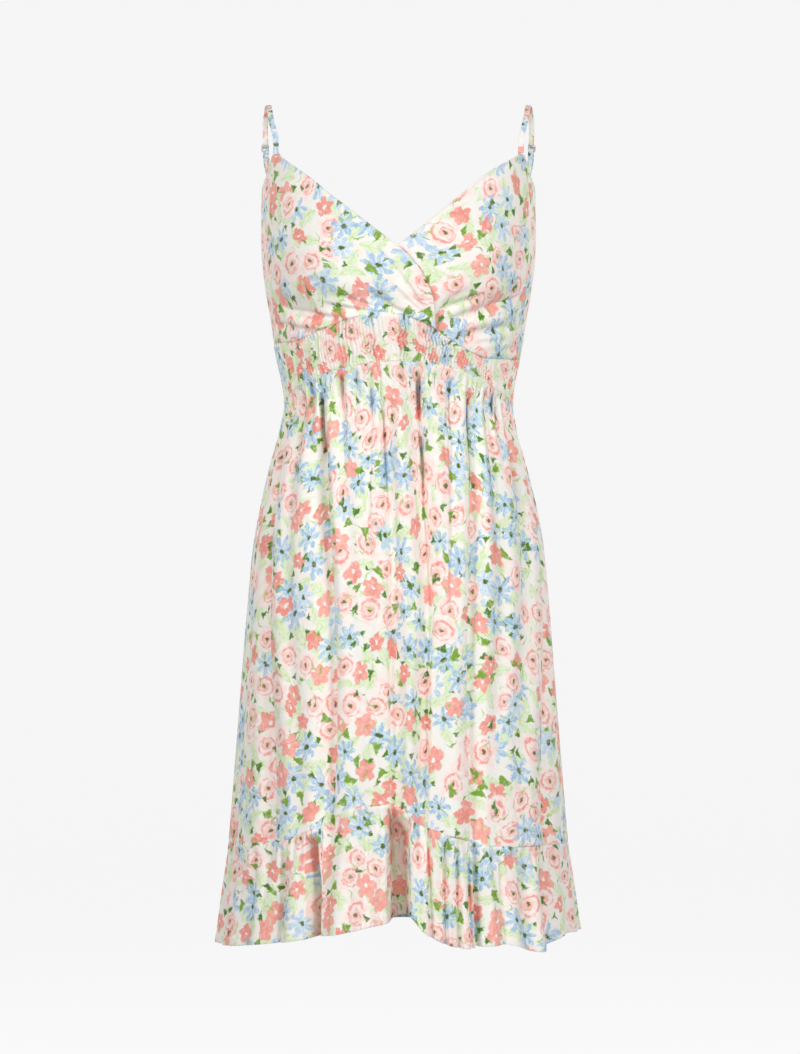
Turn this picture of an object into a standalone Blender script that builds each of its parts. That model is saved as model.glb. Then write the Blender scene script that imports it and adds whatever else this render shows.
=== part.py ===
"""A sleeveless wrap-front mini dress, hollow and filled out as it is when worn.

The dress hangs from two thin straps. Its front bodice is two crossed panels, the wearer's right one on
top. Under the bodice runs a shirred waistband, and from it hangs a gathered skirt with a ruffle at the
hem. Every piece is cut and sewn on its own, so each one is its own solid, a seam's gap from the next.

The front faces -Y, up is +Z, and the origin lies midway between the undersides of the two strap tops.
Sizes are in millimetres and angles in degrees. An angle goes round the dress: 0 is the centre front,
90 the wearer's left side seam (+X), 180 the centre back and -90 the right side seam.
"""

import math

import bpy
import numpy as np
from mathutils import Vector

METRES = 0.001
CLOTH = 1.2
SEAM_GAP = 0.3
SIDE_SEAM = 90.0
SIDE_GAP = 0.08
PROBE_ANGLE = 0.2
PROBE_HEIGHT = 0.4

# The bare form that the cloth hangs on: its half width, its depth in front of and behind the side seams,
# and how square its section is (2 is an ellipse), at each height.
FORM = [
    # height, half_width, front, back, squareness
    (-910.0, 192.5, 157.0, 157.0, 2.1),
    (-782.0, 180.0, 148.0, 148.0, 2.1),
    (-654.0, 169.6, 140.0, 140.0, 2.1),
    (-537.0, 160.0, 131.0, 132.0, 2.1),
    (-462.0, 152.5, 121.0, 124.0, 2.1),
    (-409.0, 143.0, 111.0, 113.0, 2.1),
    (-370.0, 134.0, 101.0, 101.0, 2.1),
    (-340.0, 125.5, 94.0, 91.0, 2.1),
    (-316.0, 121.7, 90.0, 85.0, 2.1),
    (-292.0, 124.5, 92.0, 85.0, 2.1),
    (-260.0, 131.5, 98.0, 88.0, 2.15),
    (-228.0, 136.0, 106.0, 94.0, 2.2),
    (-196.0, 141.6, 111.0, 99.0, 2.25),
    (-155.0, 145.8, 111.0, 103.0, 2.3),
    (-120.0, 146.0, 105.0, 100.0, 2.35),
    (-87.0, 145.0, 96.0, 94.0, 2.4),
    (-40.0, 139.0, 84.0, 84.0, 2.4),
]

# The fullness that the bodice's gathers give each side of the front.
BUST_ANGLE = 31.0
BUST_HEIGHT = -172.0
BUST_FULLNESS = 12.0
BUST_SPREAD_ANGLE = 24.0
BUST_SPREAD_HEIGHT = 46.0

# Degrees between the columns of the panels' grids. Panels that share a seam share these places.
BODICE_STEP = 5.0
SIDE_SEAM_ROWS = 7
ARMHOLE_ROWS = 5
SKIRT_STEP = 2.5

# Seams and edges that go round the dress.
BAND_TOP = [
    # angle, height
    (-90.0, -255.0),
    (-56.0, -255.0),
    (-34.0, -243.0),
    (-22.0, -235.0),
    (-10.0, -229.0),
    (3.0, -232.0),
    (13.0, -242.0),
    (23.0, -256.0),
    (36.0, -269.0),
    (48.0, -273.0),
    (90.0, -271.0),
    (135.0, -266.0),
    (180.0, -263.0),
    (225.0, -260.0),
]
BAND_BOTTOM = [
    # angle, height
    (-90.0, -318.0),
    (-60.0, -302.0),
    (-25.0, -283.0),
    (0.0, -277.0),
    (25.0, -283.0),
    (60.0, -306.0),
    (90.0, -320.0),
    (135.0, -318.0),
    (180.0, -316.0),
    (225.0, -317.0),
]
RUFFLE_SEAM = [
    # angle, height
    (-90.0, -782.0),
    (-43.0, -771.0),
    (-27.0, -756.0),
    (-17.0, -738.0),
    (-3.0, -731.0),
    (4.0, -746.0),
    (10.0, -757.0),
    (20.0, -765.0),
    (30.0, -775.0),
    (50.0, -777.0),
    (90.0, -783.0),
    (135.0, -782.0),
    (180.0, -779.0),
    (225.0, -782.0),
]
HEM = [
    # angle, height
    (-90.0, -889.0),
    (-41.0, -874.0),
    (-23.0, -864.0),
    (-15.0, -859.0),
    (-3.0, -849.0),
    (3.0, -844.0),
    (7.0, -858.0),
    (14.0, -871.0),
    (22.0, -876.0),
    (34.0, -874.0),
    (52.0, -884.0),
    (90.0, -884.0),
    (135.0, -891.0),
    (180.0, -893.0),
    (225.0, -891.0),
]

# Edges of the bodice's pieces. Each neck edge runs from the strap down to the waistband.
RIGHT_NECK_EDGE = [
    # angle, height
    (-59.5, -57.0),
    (-36.0, -84.0),
    (-25.0, -103.0),
    (-12.0, -130.0),
    (-1.0, -157.0),
    (7.5, -187.0),
    (12.5, -214.0),
    (15.0, -244.0),
]
LEFT_NECK_EDGE = [
    # angle, height
    (60.5, -57.0),
    (37.0, -79.0),
    (20.0, -109.0),
    (11.0, -130.0),
    (0.0, -158.0),
    (-7.5, -187.0),
    (-12.5, -212.0),
    (-15.0, -231.0),
]
ARMHOLE = [
    # angle, height
    (90.0, -91.0),
    (82.0, -88.5),
    (75.5, -81.0),
    (71.0, -70.0),
    (68.0, -57.0),
]
BACK_TOP = [
    # angle, height
    (90.0, -91.0),
    (104.0, -112.0),
    (120.0, -130.0),
    (130.0, -130.0),
    (150.0, -146.0),
    (180.0, -152.0),
    (210.0, -146.0),
    (230.0, -130.0),
    (240.0, -130.0),
    (256.0, -112.0),
    (270.0, -91.0),
]

# Where the top panel crosses the lower one it lies clear of it.
OVERLAP_LIFT = 2.4
OVERLAP_FROM = -40.0
OVERLAP_TO = -19.0

# Creases of the front bodice, which run out from the gathers at the crossing.
BODICE_CREASES = [
    # from_angle, from_height, to_angle, to_height, width, depth
    (1.0, -222.0, -12.0, -203.0, 9.0, 3.4),
    (-8.0, -222.0, -38.0, -206.0, 9.0, 3.6),
    (-22.0, -230.0, -62.0, -214.0, 9.0, 4.0),
    (18.0, -222.0, 34.0, -206.0, 9.0, 3.0),
    (22.0, -233.0, 62.0, -203.0, 9.0, 4.4),
    (30.0, -250.0, 58.0, -238.0, 8.0, 3.4),
]

# Folds of the skirt: the angle of each at the waistband, the hip and the ruffle, and where it starts.
SKIRT_FOLDS = [
    # at_waist, at_hip, at_ruffle, starts, width, depth
    (-83.0, -80.0, -76.0, -340.0, 13.0, 4.0),
    (-70.0, -62.0, -47.0, -350.0, 12.0, 6.0),
    (-55.0, -47.0, -35.0, -318.0, 9.0, 3.5),
    (-40.0, -26.0, -22.0, -296.0, 9.0, 11.0),
    (-27.0, -18.0, -14.0, -292.0, 8.0, 3.0),
    (-12.5, -10.0, -9.0, -290.0, 9.0, 4.0),
    (-7.5, -3.0, -2.0, -310.0, 9.0, 6.0),
    (9.5, 11.5, 8.5, -290.0, 9.0, 10.0),
    (24.5, 19.0, 15.0, -292.0, 8.0, 3.0),
    (37.0, 28.0, 24.0, -305.0, 11.0, 6.0),
    (52.0, 43.0, 34.0, -325.0, 10.0, 4.0),
    (66.0, 57.0, 45.0, -340.0, 11.0, 5.0),
    (85.0, 79.0, 60.0, -380.0, 13.0, 8.0),
    (101.0, 101.0, 100.0, -350.0, 12.0, 6.0),
    (119.0, 120.0, 121.0, -330.0, 10.0, 8.0),
    (133.0, 136.0, 138.0, -322.0, 9.0, 4.0),
    (149.0, 152.0, 154.0, -320.0, 10.0, 9.0),
    (163.0, 166.0, 169.0, -322.0, 9.0, 4.0),
    (176.0, 178.0, 181.0, -320.0, 10.0, 7.0),
    (191.0, 190.0, 191.0, -322.0, 9.0, 4.0),
    (205.0, 205.0, 206.0, -320.0, 10.0, 9.0),
    (222.0, 219.0, 218.0, -322.0, 9.0, 4.0),
    (237.0, 236.0, 236.0, -330.0, 10.0, 8.0),
    (256.0, 257.0, 258.0, -350.0, 12.0, 5.0),
]
WAIST = -310.0
HIP = -500.0
FOLDS_SETTLE = -760.0
FOLDS_END = -900.0
FOLD_FADE = 55.0
FOLD_SPREAD = 0.35

# The small gathers under the waistband's seam.
WAIST_GATHERS = 36
WAIST_GATHER_DEPTH = 1.2
WAIST_GATHER_LENGTH = 45.0

# How far the shirring's gathers, one to every two columns, are raised on the waistband's outer face.
SHIRR_DEPTH = 1.3

# Waves of the ruffle, deepest at its hem.
RUFFLE_WAVES = [
    # angle, width, depth
    (-82.0, 13.0, 5.0),
    (-69.0, 11.0, 4.0),
    (-57.0, 12.0, 5.5),
    (-41.0, 11.0, 7.0),
    (-32.0, 8.0, 3.5),
    (-24.0, 11.0, 13.0),
    (-15.5, 8.0, 4.0),
    (-8.0, 8.0, 4.0),
    (1.5, 12.0, 12.0),
    (11.5, 8.0, 6.0),
    (17.5, 8.0, 6.0),
    (26.0, 10.0, 7.0),
    (35.0, 9.0, 4.5),
    (44.0, 10.0, 6.0),
    (57.0, 12.0, 9.0),
    (70.0, 10.0, 5.0),
    (83.0, 12.0, 7.0),
    (97.0, 12.0, 6.0),
    (110.0, 11.0, 5.0),
    (122.0, 12.0, 8.0),
    (134.0, 10.0, 5.0),
    (144.0, 9.0, 4.5),
    (155.0, 12.0, 9.0),
    (166.0, 9.0, 4.5),
    (175.0, 9.0, 5.0),
    (185.0, 11.0, 8.0),
    (196.0, 9.0, 4.5),
    (207.0, 12.0, 9.0),
    (218.0, 9.0, 5.0),
    (228.0, 10.0, 4.5),
    (239.0, 12.0, 8.0),
    (252.0, 11.0, 5.0),
    (264.0, 12.0, 6.0),
]
RUFFLE_FLARE = 3.0
FOLD_LOSS = 0.2

# Straps, with the slider and the ring that set their length behind the shoulder.
STRAP_WIDTH = 6.0
STRAP_THICKNESS = 1.0
STRAP_JOIN_ANGLE = 63.75
STRAP_BACK_ANGLE = 125.0
SHOULDER_CENTRE = (125.0, 5.0, -70.0)
STRAP_LEAD = 12.0
STRAP_LEAN = 1.5
STRAP_ROUTE = [
    # x, y, height, between the front panel's top and the back panel's top edge
    (134.0, -29.0, -20.0),
    (139.0, 0.0, 0.55),
    (142.5, 20.0, -14.0),
    (143.5, 34.0, -42.0),
    (135.0, 51.0, -84.0),
]
SLIDER_PLACE = 0.575
SLIDER_APPROACH = 16.0
DOUBLED_FROM = 14.0
RING_TO_EDGE = 9.0
HARDWARE_THICKNESS = 0.8
HARDWARE_BAR = 0.9
SLIDER_WIDTH = 8.6
SLIDER_SLOT = 2.8
RING_WIDTH = 8.6
RING_SLOT = 4.6
TURN_RADIUS = 1.5
LONG_STEP = 6.0
FINE_STEP = 1.6
STRAP_STACK = 1.4
TAB_LEG = 0.68

CLOTH_COLOUR = (0.90, 0.83, 0.79, 1.0)
CLOTH_ROUGHNESS = 0.75
METAL_COLOUR = (0.62, 0.56, 0.50, 1.0)
METAL_ROUGHNESS = 0.3


def clear_scene():
    for thing in list(bpy.data.objects):
        bpy.data.objects.remove(thing, do_unlink=True)


def smooth(xs, ys, at):
    """A smooth curve through the points, read at each place in at."""
    xs, ys, at = (np.asarray(values, float) for values in (xs, ys, at))
    slope = np.diff(ys) / np.diff(xs)
    tangent = np.concatenate([slope[:1], (slope[1:] + slope[:-1]) / 2, slope[-1:]])
    turns = slope[1:] * slope[:-1] <= 0
    tangent[1:-1][turns] = 0.0
    at = np.clip(at, xs[0], xs[-1])
    place = np.clip(np.searchsorted(xs, at) - 1, 0, len(xs) - 2)
    step = xs[place + 1] - xs[place]
    t = (at - xs[place]) / step
    return (
        ys[place] * (1 + 2 * t) * (1 - t) ** 2
        + tangent[place] * step * t * (1 - t) ** 2
        + ys[place + 1] * t**2 * (3 - 2 * t)
        - tangent[place + 1] * step * t**2 * (1 - t)
    )


def round_the_dress(table, angle):
    """The height of an edge that closes on itself, at each angle."""
    rows = np.array(table)
    turns = np.concatenate([rows[:, 0] - 360.0, rows[:, 0], rows[:, 0] + 360.0])
    return smooth(turns, np.tile(rows[:, 1], 3), angle)


def band_top(angle):
    """The waistband's top seam, straight from one bodice column to the next."""
    columns = np.arange(-90.0, 270.0 + BODICE_STEP, BODICE_STEP)
    return np.interp(angle, columns, round_the_dress(BAND_TOP, columns))


def band_bottom(angle):
    return round_the_dress(BAND_BOTTOM, angle)


def back_top(angle):
    return round_the_dress(BACK_TOP, angle)


def ruffle_seam(angle):
    return round_the_dress(RUFFLE_SEAM, angle)


def hem(angle):
    return round_the_dress(HEM, angle)


def ease(low, high, at):
    """0 below low and 1 above high, with a smooth rise between."""
    t = np.clip((np.asarray(at, float) - low) / (high - low), 0.0, 1.0)
    return t * t * (3 - 2 * t)


def apart(angle, other):
    """How far one angle lies past another, the short way round."""
    return (np.asarray(angle, float) - other + 180.0) % 360.0 - 180.0


def form_size(height):
    rows = np.array(FORM)
    return [smooth(rows[:, 0], rows[:, column], height) for column in range(1, 5)]


def form_point(angle, height):
    """The form's surface at each angle and height."""
    half_width, front, back, squareness = form_size(height)
    turn = np.radians(angle)
    across = np.sign(np.sin(turn)) * np.abs(np.sin(turn)) ** (2 / squareness)
    along = np.sign(np.cos(turn)) * np.abs(np.cos(turn)) ** (2 / squareness)
    depth = np.where(along > 0, front, back)
    return np.stack([half_width * across, -depth * along, height + 0 * across], axis=-1)


def arc_length(angle, height):
    """Millimetres of cloth to one degree, at each place on the form."""
    step = form_point(angle + 0.5, height) - form_point(angle - 0.5, height)
    return np.linalg.norm(step, axis=-1)


def trough(distance, width):
    """A soft trough of depth 1 with a low ridge along each side."""
    q = distance / width
    return -(1.0 - 0.5 * q * q) * np.exp(-0.5 * q * q)


def bust_fullness(angle, height):
    across = (np.abs(apart(angle, 0.0)) - BUST_ANGLE) / BUST_SPREAD_ANGLE
    up = (height - BUST_HEIGHT) / BUST_SPREAD_HEIGHT
    return BUST_FULLNESS * np.exp(-across * across - up * up)


def bodice_creases(angle, height):
    """The creases' depth, each fading out at its two ends."""
    total = np.zeros(np.broadcast(angle, height).shape)
    for from_angle, from_height, to_angle, to_height, width, depth in BODICE_CREASES:
        scale = arc_length((from_angle + to_angle) / 2, (from_height + to_height) / 2)
        along = np.array([(to_angle - from_angle) * scale, to_height - from_height])
        length = np.linalg.norm(along)
        along = along / length
        x = apart(angle, from_angle) * scale
        z = height - from_height
        reach = (x * along[0] + z * along[1]) / length
        side = -x * along[1] + z * along[0]
        fade = ease(-0.25, 0.15, reach) * (1 - ease(0.65, 1.2, reach))
        total = total + depth * fade * trough(side, width)
    return total


def fold_place(at_waist, at_hip, at_ruffle, height):
    """The angle of a fold at each height."""
    levels = [FOLDS_END, FOLDS_SETTLE, HIP, WAIST]
    return smooth(levels, [at_ruffle, at_ruffle, at_hip, at_waist], height)


def thread_angle(at_ruffle, height):
    """The angle, at each height, of the thread that meets the ruffle at a given angle.

    Threads run along the folds, so the columns of the skirt's grids do too.
    """
    seams = [(side, side, side, WAIST, 0.0, 0.0) for side in (-90.0, 90.0, 270.0)]
    rows = sorted(seams + SKIRT_FOLDS, key=lambda row: row[2])
    ends = [row[2] for row in rows]
    angle = np.array(at_ruffle, float)
    for spot in np.ndindex(angle.shape):
        centres = [fold_place(*row[:3], height[spot]) for row in rows]
        angle[spot] = np.interp(angle[spot], ends, centres)
    return angle


def skirt_folds(angle, height):
    """The large folds that hang from the waistband to the hem."""
    total = np.zeros(np.broadcast(angle, height).shape)
    scale = arc_length(angle, height)
    for at_waist, at_hip, at_ruffle, starts, width, depth in SKIRT_FOLDS:
        centre = fold_place(at_waist, at_hip, at_ruffle, height)
        grows = 1 - ease(starts - FOLD_FADE, starts + 8.0, height)
        spread = width * (1.0 + FOLD_SPREAD * (1 - ease(FOLDS_SETTLE, HIP, height)))
        total = total + depth * grows * trough(apart(angle, centre) * scale, spread)
    return total


def waist_gathers(angle, height):
    below = band_bottom(angle) - height
    fade = 1 - ease(0.0, WAIST_GATHER_LENGTH, below)
    return WAIST_GATHER_DEPTH * fade * np.cos(np.radians(angle) * WAIST_GATHERS)


def ruffle_reach(angle, height):
    """How far down the ruffle a place lies: 0 at its seam, 1 at its hem."""
    seam = ruffle_seam(angle)
    return np.clip((seam - height) / (seam - hem(angle)), 0.0, 1.1)


def fold_share(angle, height):
    """How much of the skirt's folds the ruffle keeps, all of it at its seam."""
    return 1 - FOLD_LOSS * ruffle_reach(angle, height)


def ruffle_waves(angle, height):
    """The ruffle's own waves, none at its seam and full at its hem."""
    down = ruffle_reach(angle, height)
    scale = arc_length(angle, height)
    total = RUFFLE_FLARE * down
    for centre, width, depth in RUFFLE_WAVES:
        total = total + depth * ease(0.0, 0.6, down) * trough(apart(angle, centre) * scale, width)
    return total


def outward(angle, height):
    """The form's own direction outward, level with the floor."""
    ahead = form_point(angle + PROBE_ANGLE, height)
    behind = form_point(angle - PROBE_ANGLE, height)
    along = ahead - behind
    normal = np.stack([along[..., 1], -along[..., 0], 0 * along[..., 0]], axis=-1)
    return normal / np.linalg.norm(normal, axis=-1, keepdims=True)


def raised(lift):
    """A surface over the form, moved outward by lift(angle, height)."""

    def surface(angle, height):
        return form_point(angle, height) + lift(angle, height)[..., None] * outward(angle, height)

    return surface


def overlap_lift(angle):
    return OVERLAP_LIFT * ease(OVERLAP_FROM, OVERLAP_TO, apart(angle, 0.0))


lower_bodice = raised(lambda a, z: bust_fullness(a, z) + bodice_creases(a, z))
upper_bodice = raised(lambda a, z: bust_fullness(a, z) + bodice_creases(a, z) + overlap_lift(a))
plain_form = raised(lambda a, z: 0.0 * a)
skirt_surface = raised(lambda a, z: skirt_folds(a, z) + waist_gathers(a, z))
ruffle_surface = raised(lambda a, z: skirt_folds(a, z) * fold_share(a, z) + ruffle_waves(a, z))


def normals(surface, angle, height):
    """The direction straight out of a surface."""
    across = surface(angle + PROBE_ANGLE, height) - surface(angle - PROBE_ANGLE, height)
    up = surface(angle, height + PROBE_HEIGHT) - surface(angle, height - PROBE_HEIGHT)
    normal = np.cross(across, up)
    return normal / np.linalg.norm(normal, axis=-1, keepdims=True)


def make_object(name, points, faces, colour, roughness, metallic):
    mesh = bpy.data.meshes.new(name)
    mesh.from_pydata([tuple(point * METRES) for point in points], [], faces)
    mesh.validate()
    mesh.shade_smooth()
    mesh.set_sharp_from_angle(angle=math.radians(50))
    thing = bpy.data.objects.new(name, mesh)
    bpy.context.scene.collection.objects.link(thing)
    material = bpy.data.materials.new(name)
    material.use_nodes = True
    shader = material.node_tree.nodes["Principled BSDF"]
    shader.inputs["Base Color"].default_value = colour
    shader.inputs["Roughness"].default_value = roughness
    shader.inputs["Metallic"].default_value = metallic
    thing.data.materials.append(material)
    return thing


def cloth_wall(name, outer, inner):
    """A closed wall between two grids of points, each of rows from the top down."""
    rows, columns = outer.shape[:2]

    def index(row, column, layer):
        return (layer * rows + row) * columns + column

    faces = []
    for row in range(rows - 1):
        for column in range(columns - 1):
            corners = [(row, column), (row + 1, column), (row + 1, column + 1), (row, column + 1)]
            faces.append([index(r, c, 0) for r, c in corners])
            faces.append([index(r, c, 1) for r, c in reversed(corners)])
    border = [(0, column) for column in range(columns - 1)]
    border += [(row, columns - 1) for row in range(rows - 1)]
    border += [(rows - 1, column) for column in range(columns - 1, 0, -1)]
    border += [(row, 0) for row in range(rows - 1, 0, -1)]
    for spot, after in zip(border, border[1:] + border[:1]):
        faces.append([index(*spot, 0), index(*after, 0), index(*after, 1), index(*spot, 1)])
    points = np.concatenate([outer.reshape(-1, 3), inner.reshape(-1, 3)])
    return make_object(name, points, faces, CLOTH_COLOUR, CLOTH_ROUGHNESS, 0.0)


def cloth_panel(name, surface, angle, height):
    """A wall of even thickness on a surface, at a grid of angles and heights."""
    outer = surface(angle, height)
    return cloth_wall(name, outer, outer - CLOTH * normals(surface, angle, height))


def half_round(start, step, top, bottom, rows):
    """Angles and heights of a panel from one side seam to the other, between two edges."""
    across = np.arange(start, start + 180.0 + step, step)
    across[0] += SIDE_GAP
    across[-1] -= SIDE_GAP
    down = np.linspace(0.0, 1.0, rows + 1)[:, None]
    return np.tile(across, (rows + 1, 1)), top(across) * (1 - down) + bottom(across) * down


def along_edge(edge, count):
    """Evenly spaced points of a smooth curve through an edge's points."""
    edge = np.array(edge)
    steps = np.linalg.norm(np.diff(edge, axis=0), axis=1)
    places = np.concatenate([[0.0], np.cumsum(steps)])
    at = np.linspace(0.0, places[-1], count)
    return np.stack([smooth(places, edge[:, column], at) for column in range(2)], axis=-1)


def front_bodice(name, surface, side, neck_edge):
    """A crossed front panel, its grid drawn in from its four edges: side, neck, strap and waist."""
    waist = side * np.arange(SIDE_SEAM, side * neck_edge[-1][0] - BODICE_STEP, -BODICE_STEP)
    waist[0] = side * (SIDE_SEAM - SIDE_GAP)
    waist = np.stack([waist, band_top(waist) + SEAM_GAP], axis=-1)
    columns = len(waist) - 1
    armhole = [(side * min(angle, SIDE_SEAM - SIDE_GAP), height) for angle, height in ARMHOLE]
    side_edge = np.linspace(waist[0], armhole[0], SIDE_SEAM_ROWS + 1)[:-1]
    side_edge = np.concatenate([side_edge, along_edge(armhole, ARMHOLE_ROWS + 1)])
    rows = SIDE_SEAM_ROWS + ARMHOLE_ROWS
    neck = list(reversed(neck_edge))
    neck[0] = tuple(waist[-1])
    neck = along_edge(neck, rows + 1)
    u = np.linspace(0.0, 1.0, columns + 1)[None, :, None]
    v = np.linspace(0.0, 1.0, rows + 1)[:, None, None]
    top = side_edge[-1] * (1 - u) + neck[-1] * u
    ruled = side_edge[:, None] * (1 - u) + neck[:, None] * u + waist[None] * (1 - v) + top * v
    corners = (waist[0] * (1 - u) + waist[-1] * u) * (1 - v) + top * v
    grid = (ruled - corners)[::-1]
    if side > 0:
        grid = grid[:, ::-1]
    return cloth_panel(name, surface, grid[..., 0], grid[..., 1])


def back_bodice():
    angle, height = half_round(90.0, BODICE_STEP, back_top, band_top, 5)
    height[-1] += SEAM_GAP
    return cloth_panel("bodice_back", plain_form, angle, height)


def waistband(name, start):
    """A band whose outer face is raised in the shirring's gathers, over a plain inner face."""
    angle, height = half_round(start, SKIRT_STEP, band_top, band_bottom, 3)
    plain = plain_form(angle, height)
    normal = normals(plain_form, angle, height)
    gather = SHIRR_DEPTH * (np.arange(angle.shape[1]) % 2)
    edge = np.array([0.35, 1.0, 1.0, 0.35])[:, None]
    outer = plain + (edge * gather)[..., None] * normal
    return cloth_wall(name, outer, plain - CLOTH * normal)


def skirt_panel(name, start):
    rows = 7
    place, height = half_round(start, SKIRT_STEP, band_bottom, ruffle_seam, rows)
    down = np.linspace(0.0, 1.0, rows + 1)[:, None]
    angle = thread_angle(place, height)
    height = band_bottom(angle) * (1 - down) + ruffle_seam(angle) * down
    angle[-1], height[-1] = place[-1], ruffle_seam(place[-1])
    height[0] -= SEAM_GAP
    return cloth_panel(name, skirt_surface, angle, height)


def ruffle(name, start):
    angle, height = half_round(start, SKIRT_STEP, ruffle_seam, hem, 3)
    height[0] -= SEAM_GAP
    return cloth_panel(name, ruffle_surface, angle, height)


def unit(vector):
    return vector / np.linalg.norm(vector, axis=-1, keepdims=True)


def mid_wall(angle, height):
    """The middle of the cloth's thickness on the form."""
    return form_point(angle, height) - 0.5 * CLOTH * outward(angle, height)


def strap_route(side, count=400):
    """Points, and the three directions at each, along a strap from the front panel to the back one."""
    front_height = ARMHOLE[-1][1] + SEAM_GAP
    back_height = back_top(STRAP_BACK_ANGLE) + SEAM_GAP
    front = mid_wall(STRAP_JOIN_ANGLE, front_height)
    back = mid_wall(STRAP_BACK_ANGLE, back_height)
    front_lead = front + [0.0, STRAP_LEAN, STRAP_LEAD]
    back_lead = back - [0.0, STRAP_LEAN, -STRAP_LEAD]
    knots = np.array([front, front_lead, *STRAP_ROUTE, back_lead, back])
    places = np.concatenate([[0.0], np.cumsum(np.linalg.norm(np.diff(knots, axis=0), axis=1))])
    at = np.linspace(0.0, places[-1], count)
    points = np.stack([smooth(places, knots[:, axis], at) for axis in range(3)], axis=-1)
    points[:, 0] *= side
    along = unit(np.gradient(points, axis=0))
    away = points - np.array([side * SHOULDER_CENTRE[0], *SHOULDER_CENTRE[1:]])
    across = unit(np.cross(along, away))
    return points, along, across, np.cross(across, along)


class Route:
    """A strap's route, read by the distance along it."""

    def __init__(self, side):
        self.points, self.along, self.across, self.out = strap_route(side)
        steps = np.linalg.norm(np.diff(self.points, axis=0), axis=1)
        self.places = np.concatenate([[0.0], np.cumsum(steps)])
        self.length = self.places[-1]

    def read(self, values, place):
        return np.stack([np.interp(place, self.places, values[:, axis]) for axis in range(3)], axis=-1)

    def frame(self, place):
        return [self.read(values, place) for values in (self.points, self.along, self.across, self.out)]


def ribbon(name, route, path):
    """A flat strap swept along a path of (place along the route, height off it)."""
    place, rise = np.array(path).T
    points, _, across, out = route.frame(place)
    centres = points + rise[:, None] * out
    across = unit(across)
    up = unit(np.cross(across, np.gradient(centres, axis=0)))
    wide = across * STRAP_WIDTH / 2
    thick = up * STRAP_THICKNESS / 2
    corners = [-wide - thick, wide - thick, wide + thick, -wide + thick]
    sections = np.stack([centres + corner for corner in corners], axis=1)
    count = len(sections)
    faces = [[3, 2, 1, 0], [4 * count - 4 + corner for corner in range(4)]]
    for section in range(count - 1):
        for corner in range(4):
            after = (corner + 1) % 4
            low = 4 * section
            faces.append([low + corner, low + after, low + 4 + after, low + 4 + corner])
    return make_object(name, sections.reshape(-1, 3), faces, CLOTH_COLOUR, CLOTH_ROUGHNESS, 0.0)


def smooth_run(knots, spacing):
    """Closely spaced (place, height) points of a smooth curve through the knots."""
    knots = np.array(knots)
    steps = np.linalg.norm(np.diff(knots, axis=0), axis=1)
    at = np.concatenate([[0.0], np.cumsum(steps)])
    spots = np.linspace(0.0, at[-1], max(2, int(at[-1] / spacing) + 1))
    return [tuple(smooth(at, knots[:, column], spot) for column in range(2)) for spot in spots]


def half_turn(place, ahead):
    """A half turn round a bar at this place, from outside the bar to inside it."""
    turn = np.radians(np.linspace(90.0, -90.0, 7))
    return list(zip(place + ahead * TURN_RADIUS * np.cos(turn), TURN_RADIUS * np.sin(turn)))


def strap_places(route):
    """Where the slider's middle and the ring's middle lie along the route."""
    return route.length * SLIDER_PLACE, route.length - RING_TO_EDGE


def strap(name, route):
    """One long strap: over the shoulder, through the slider, round the ring and back to the slider."""
    slider, ring = strap_places(route)
    slot = SLIDER_SLOT + HARDWARE_BAR
    upper_bar = ring - (RING_SLOT + HARDWARE_BAR) / 2
    lower_bar = slider + slot
    doubled = lower_bar + DOUBLED_FROM
    over_shoulder = [(0.0, 0.0), (slider - SLIDER_APPROACH - LONG_STEP, 0.0)]
    through_slider = [
        (slider - SLIDER_APPROACH, 0.0),
        (slider - slot, -STRAP_STACK),
        (slider, STRAP_STACK),
        (lower_bar, -STRAP_STACK),
        ((lower_bar + doubled) / 2, 0.0),
        (doubled, TURN_RADIUS),
    ]
    down_to_ring = [(doubled + LONG_STEP, TURN_RADIUS), (upper_bar - FINE_STEP, TURN_RADIUS)]
    back_from_ring = [(upper_bar - FINE_STEP, -TURN_RADIUS), (doubled + LONG_STEP, -TURN_RADIUS)]
    end_at_slider = [
        ((lower_bar + doubled) / 2 + FINE_STEP, -1.6 * STRAP_STACK),
        (lower_bar, -2.1 * STRAP_STACK),
        (slider + HARDWARE_BAR / 2, -STRAP_STACK),
    ]
    run = smooth_run(over_shoulder, LONG_STEP)
    run += smooth_run(through_slider, FINE_STEP)
    run += smooth_run(down_to_ring, LONG_STEP)
    run += half_turn(upper_bar, 1.0)
    run += smooth_run(back_from_ring, LONG_STEP)
    run += smooth_run(end_at_slider, FINE_STEP)
    return ribbon(name, route, run)


def strap_tab(name, route):
    """The short loop that holds the ring, both its legs sewn to the back's top edge."""
    _, ring = strap_places(route)
    lower_bar = ring + (RING_SLOT + HARDWARE_BAR) / 2
    end = route.length
    outside = [(end, TAB_LEG), (end - FINE_STEP, TAB_LEG), (lower_bar + FINE_STEP, TURN_RADIUS)]
    run = smooth_run(outside, FINE_STEP)
    run += half_turn(lower_bar, -1.0)
    run += [(place, -rise) for place, rise in reversed(smooth_run(outside, FINE_STEP))]
    return ribbon(name, route, run)


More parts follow.
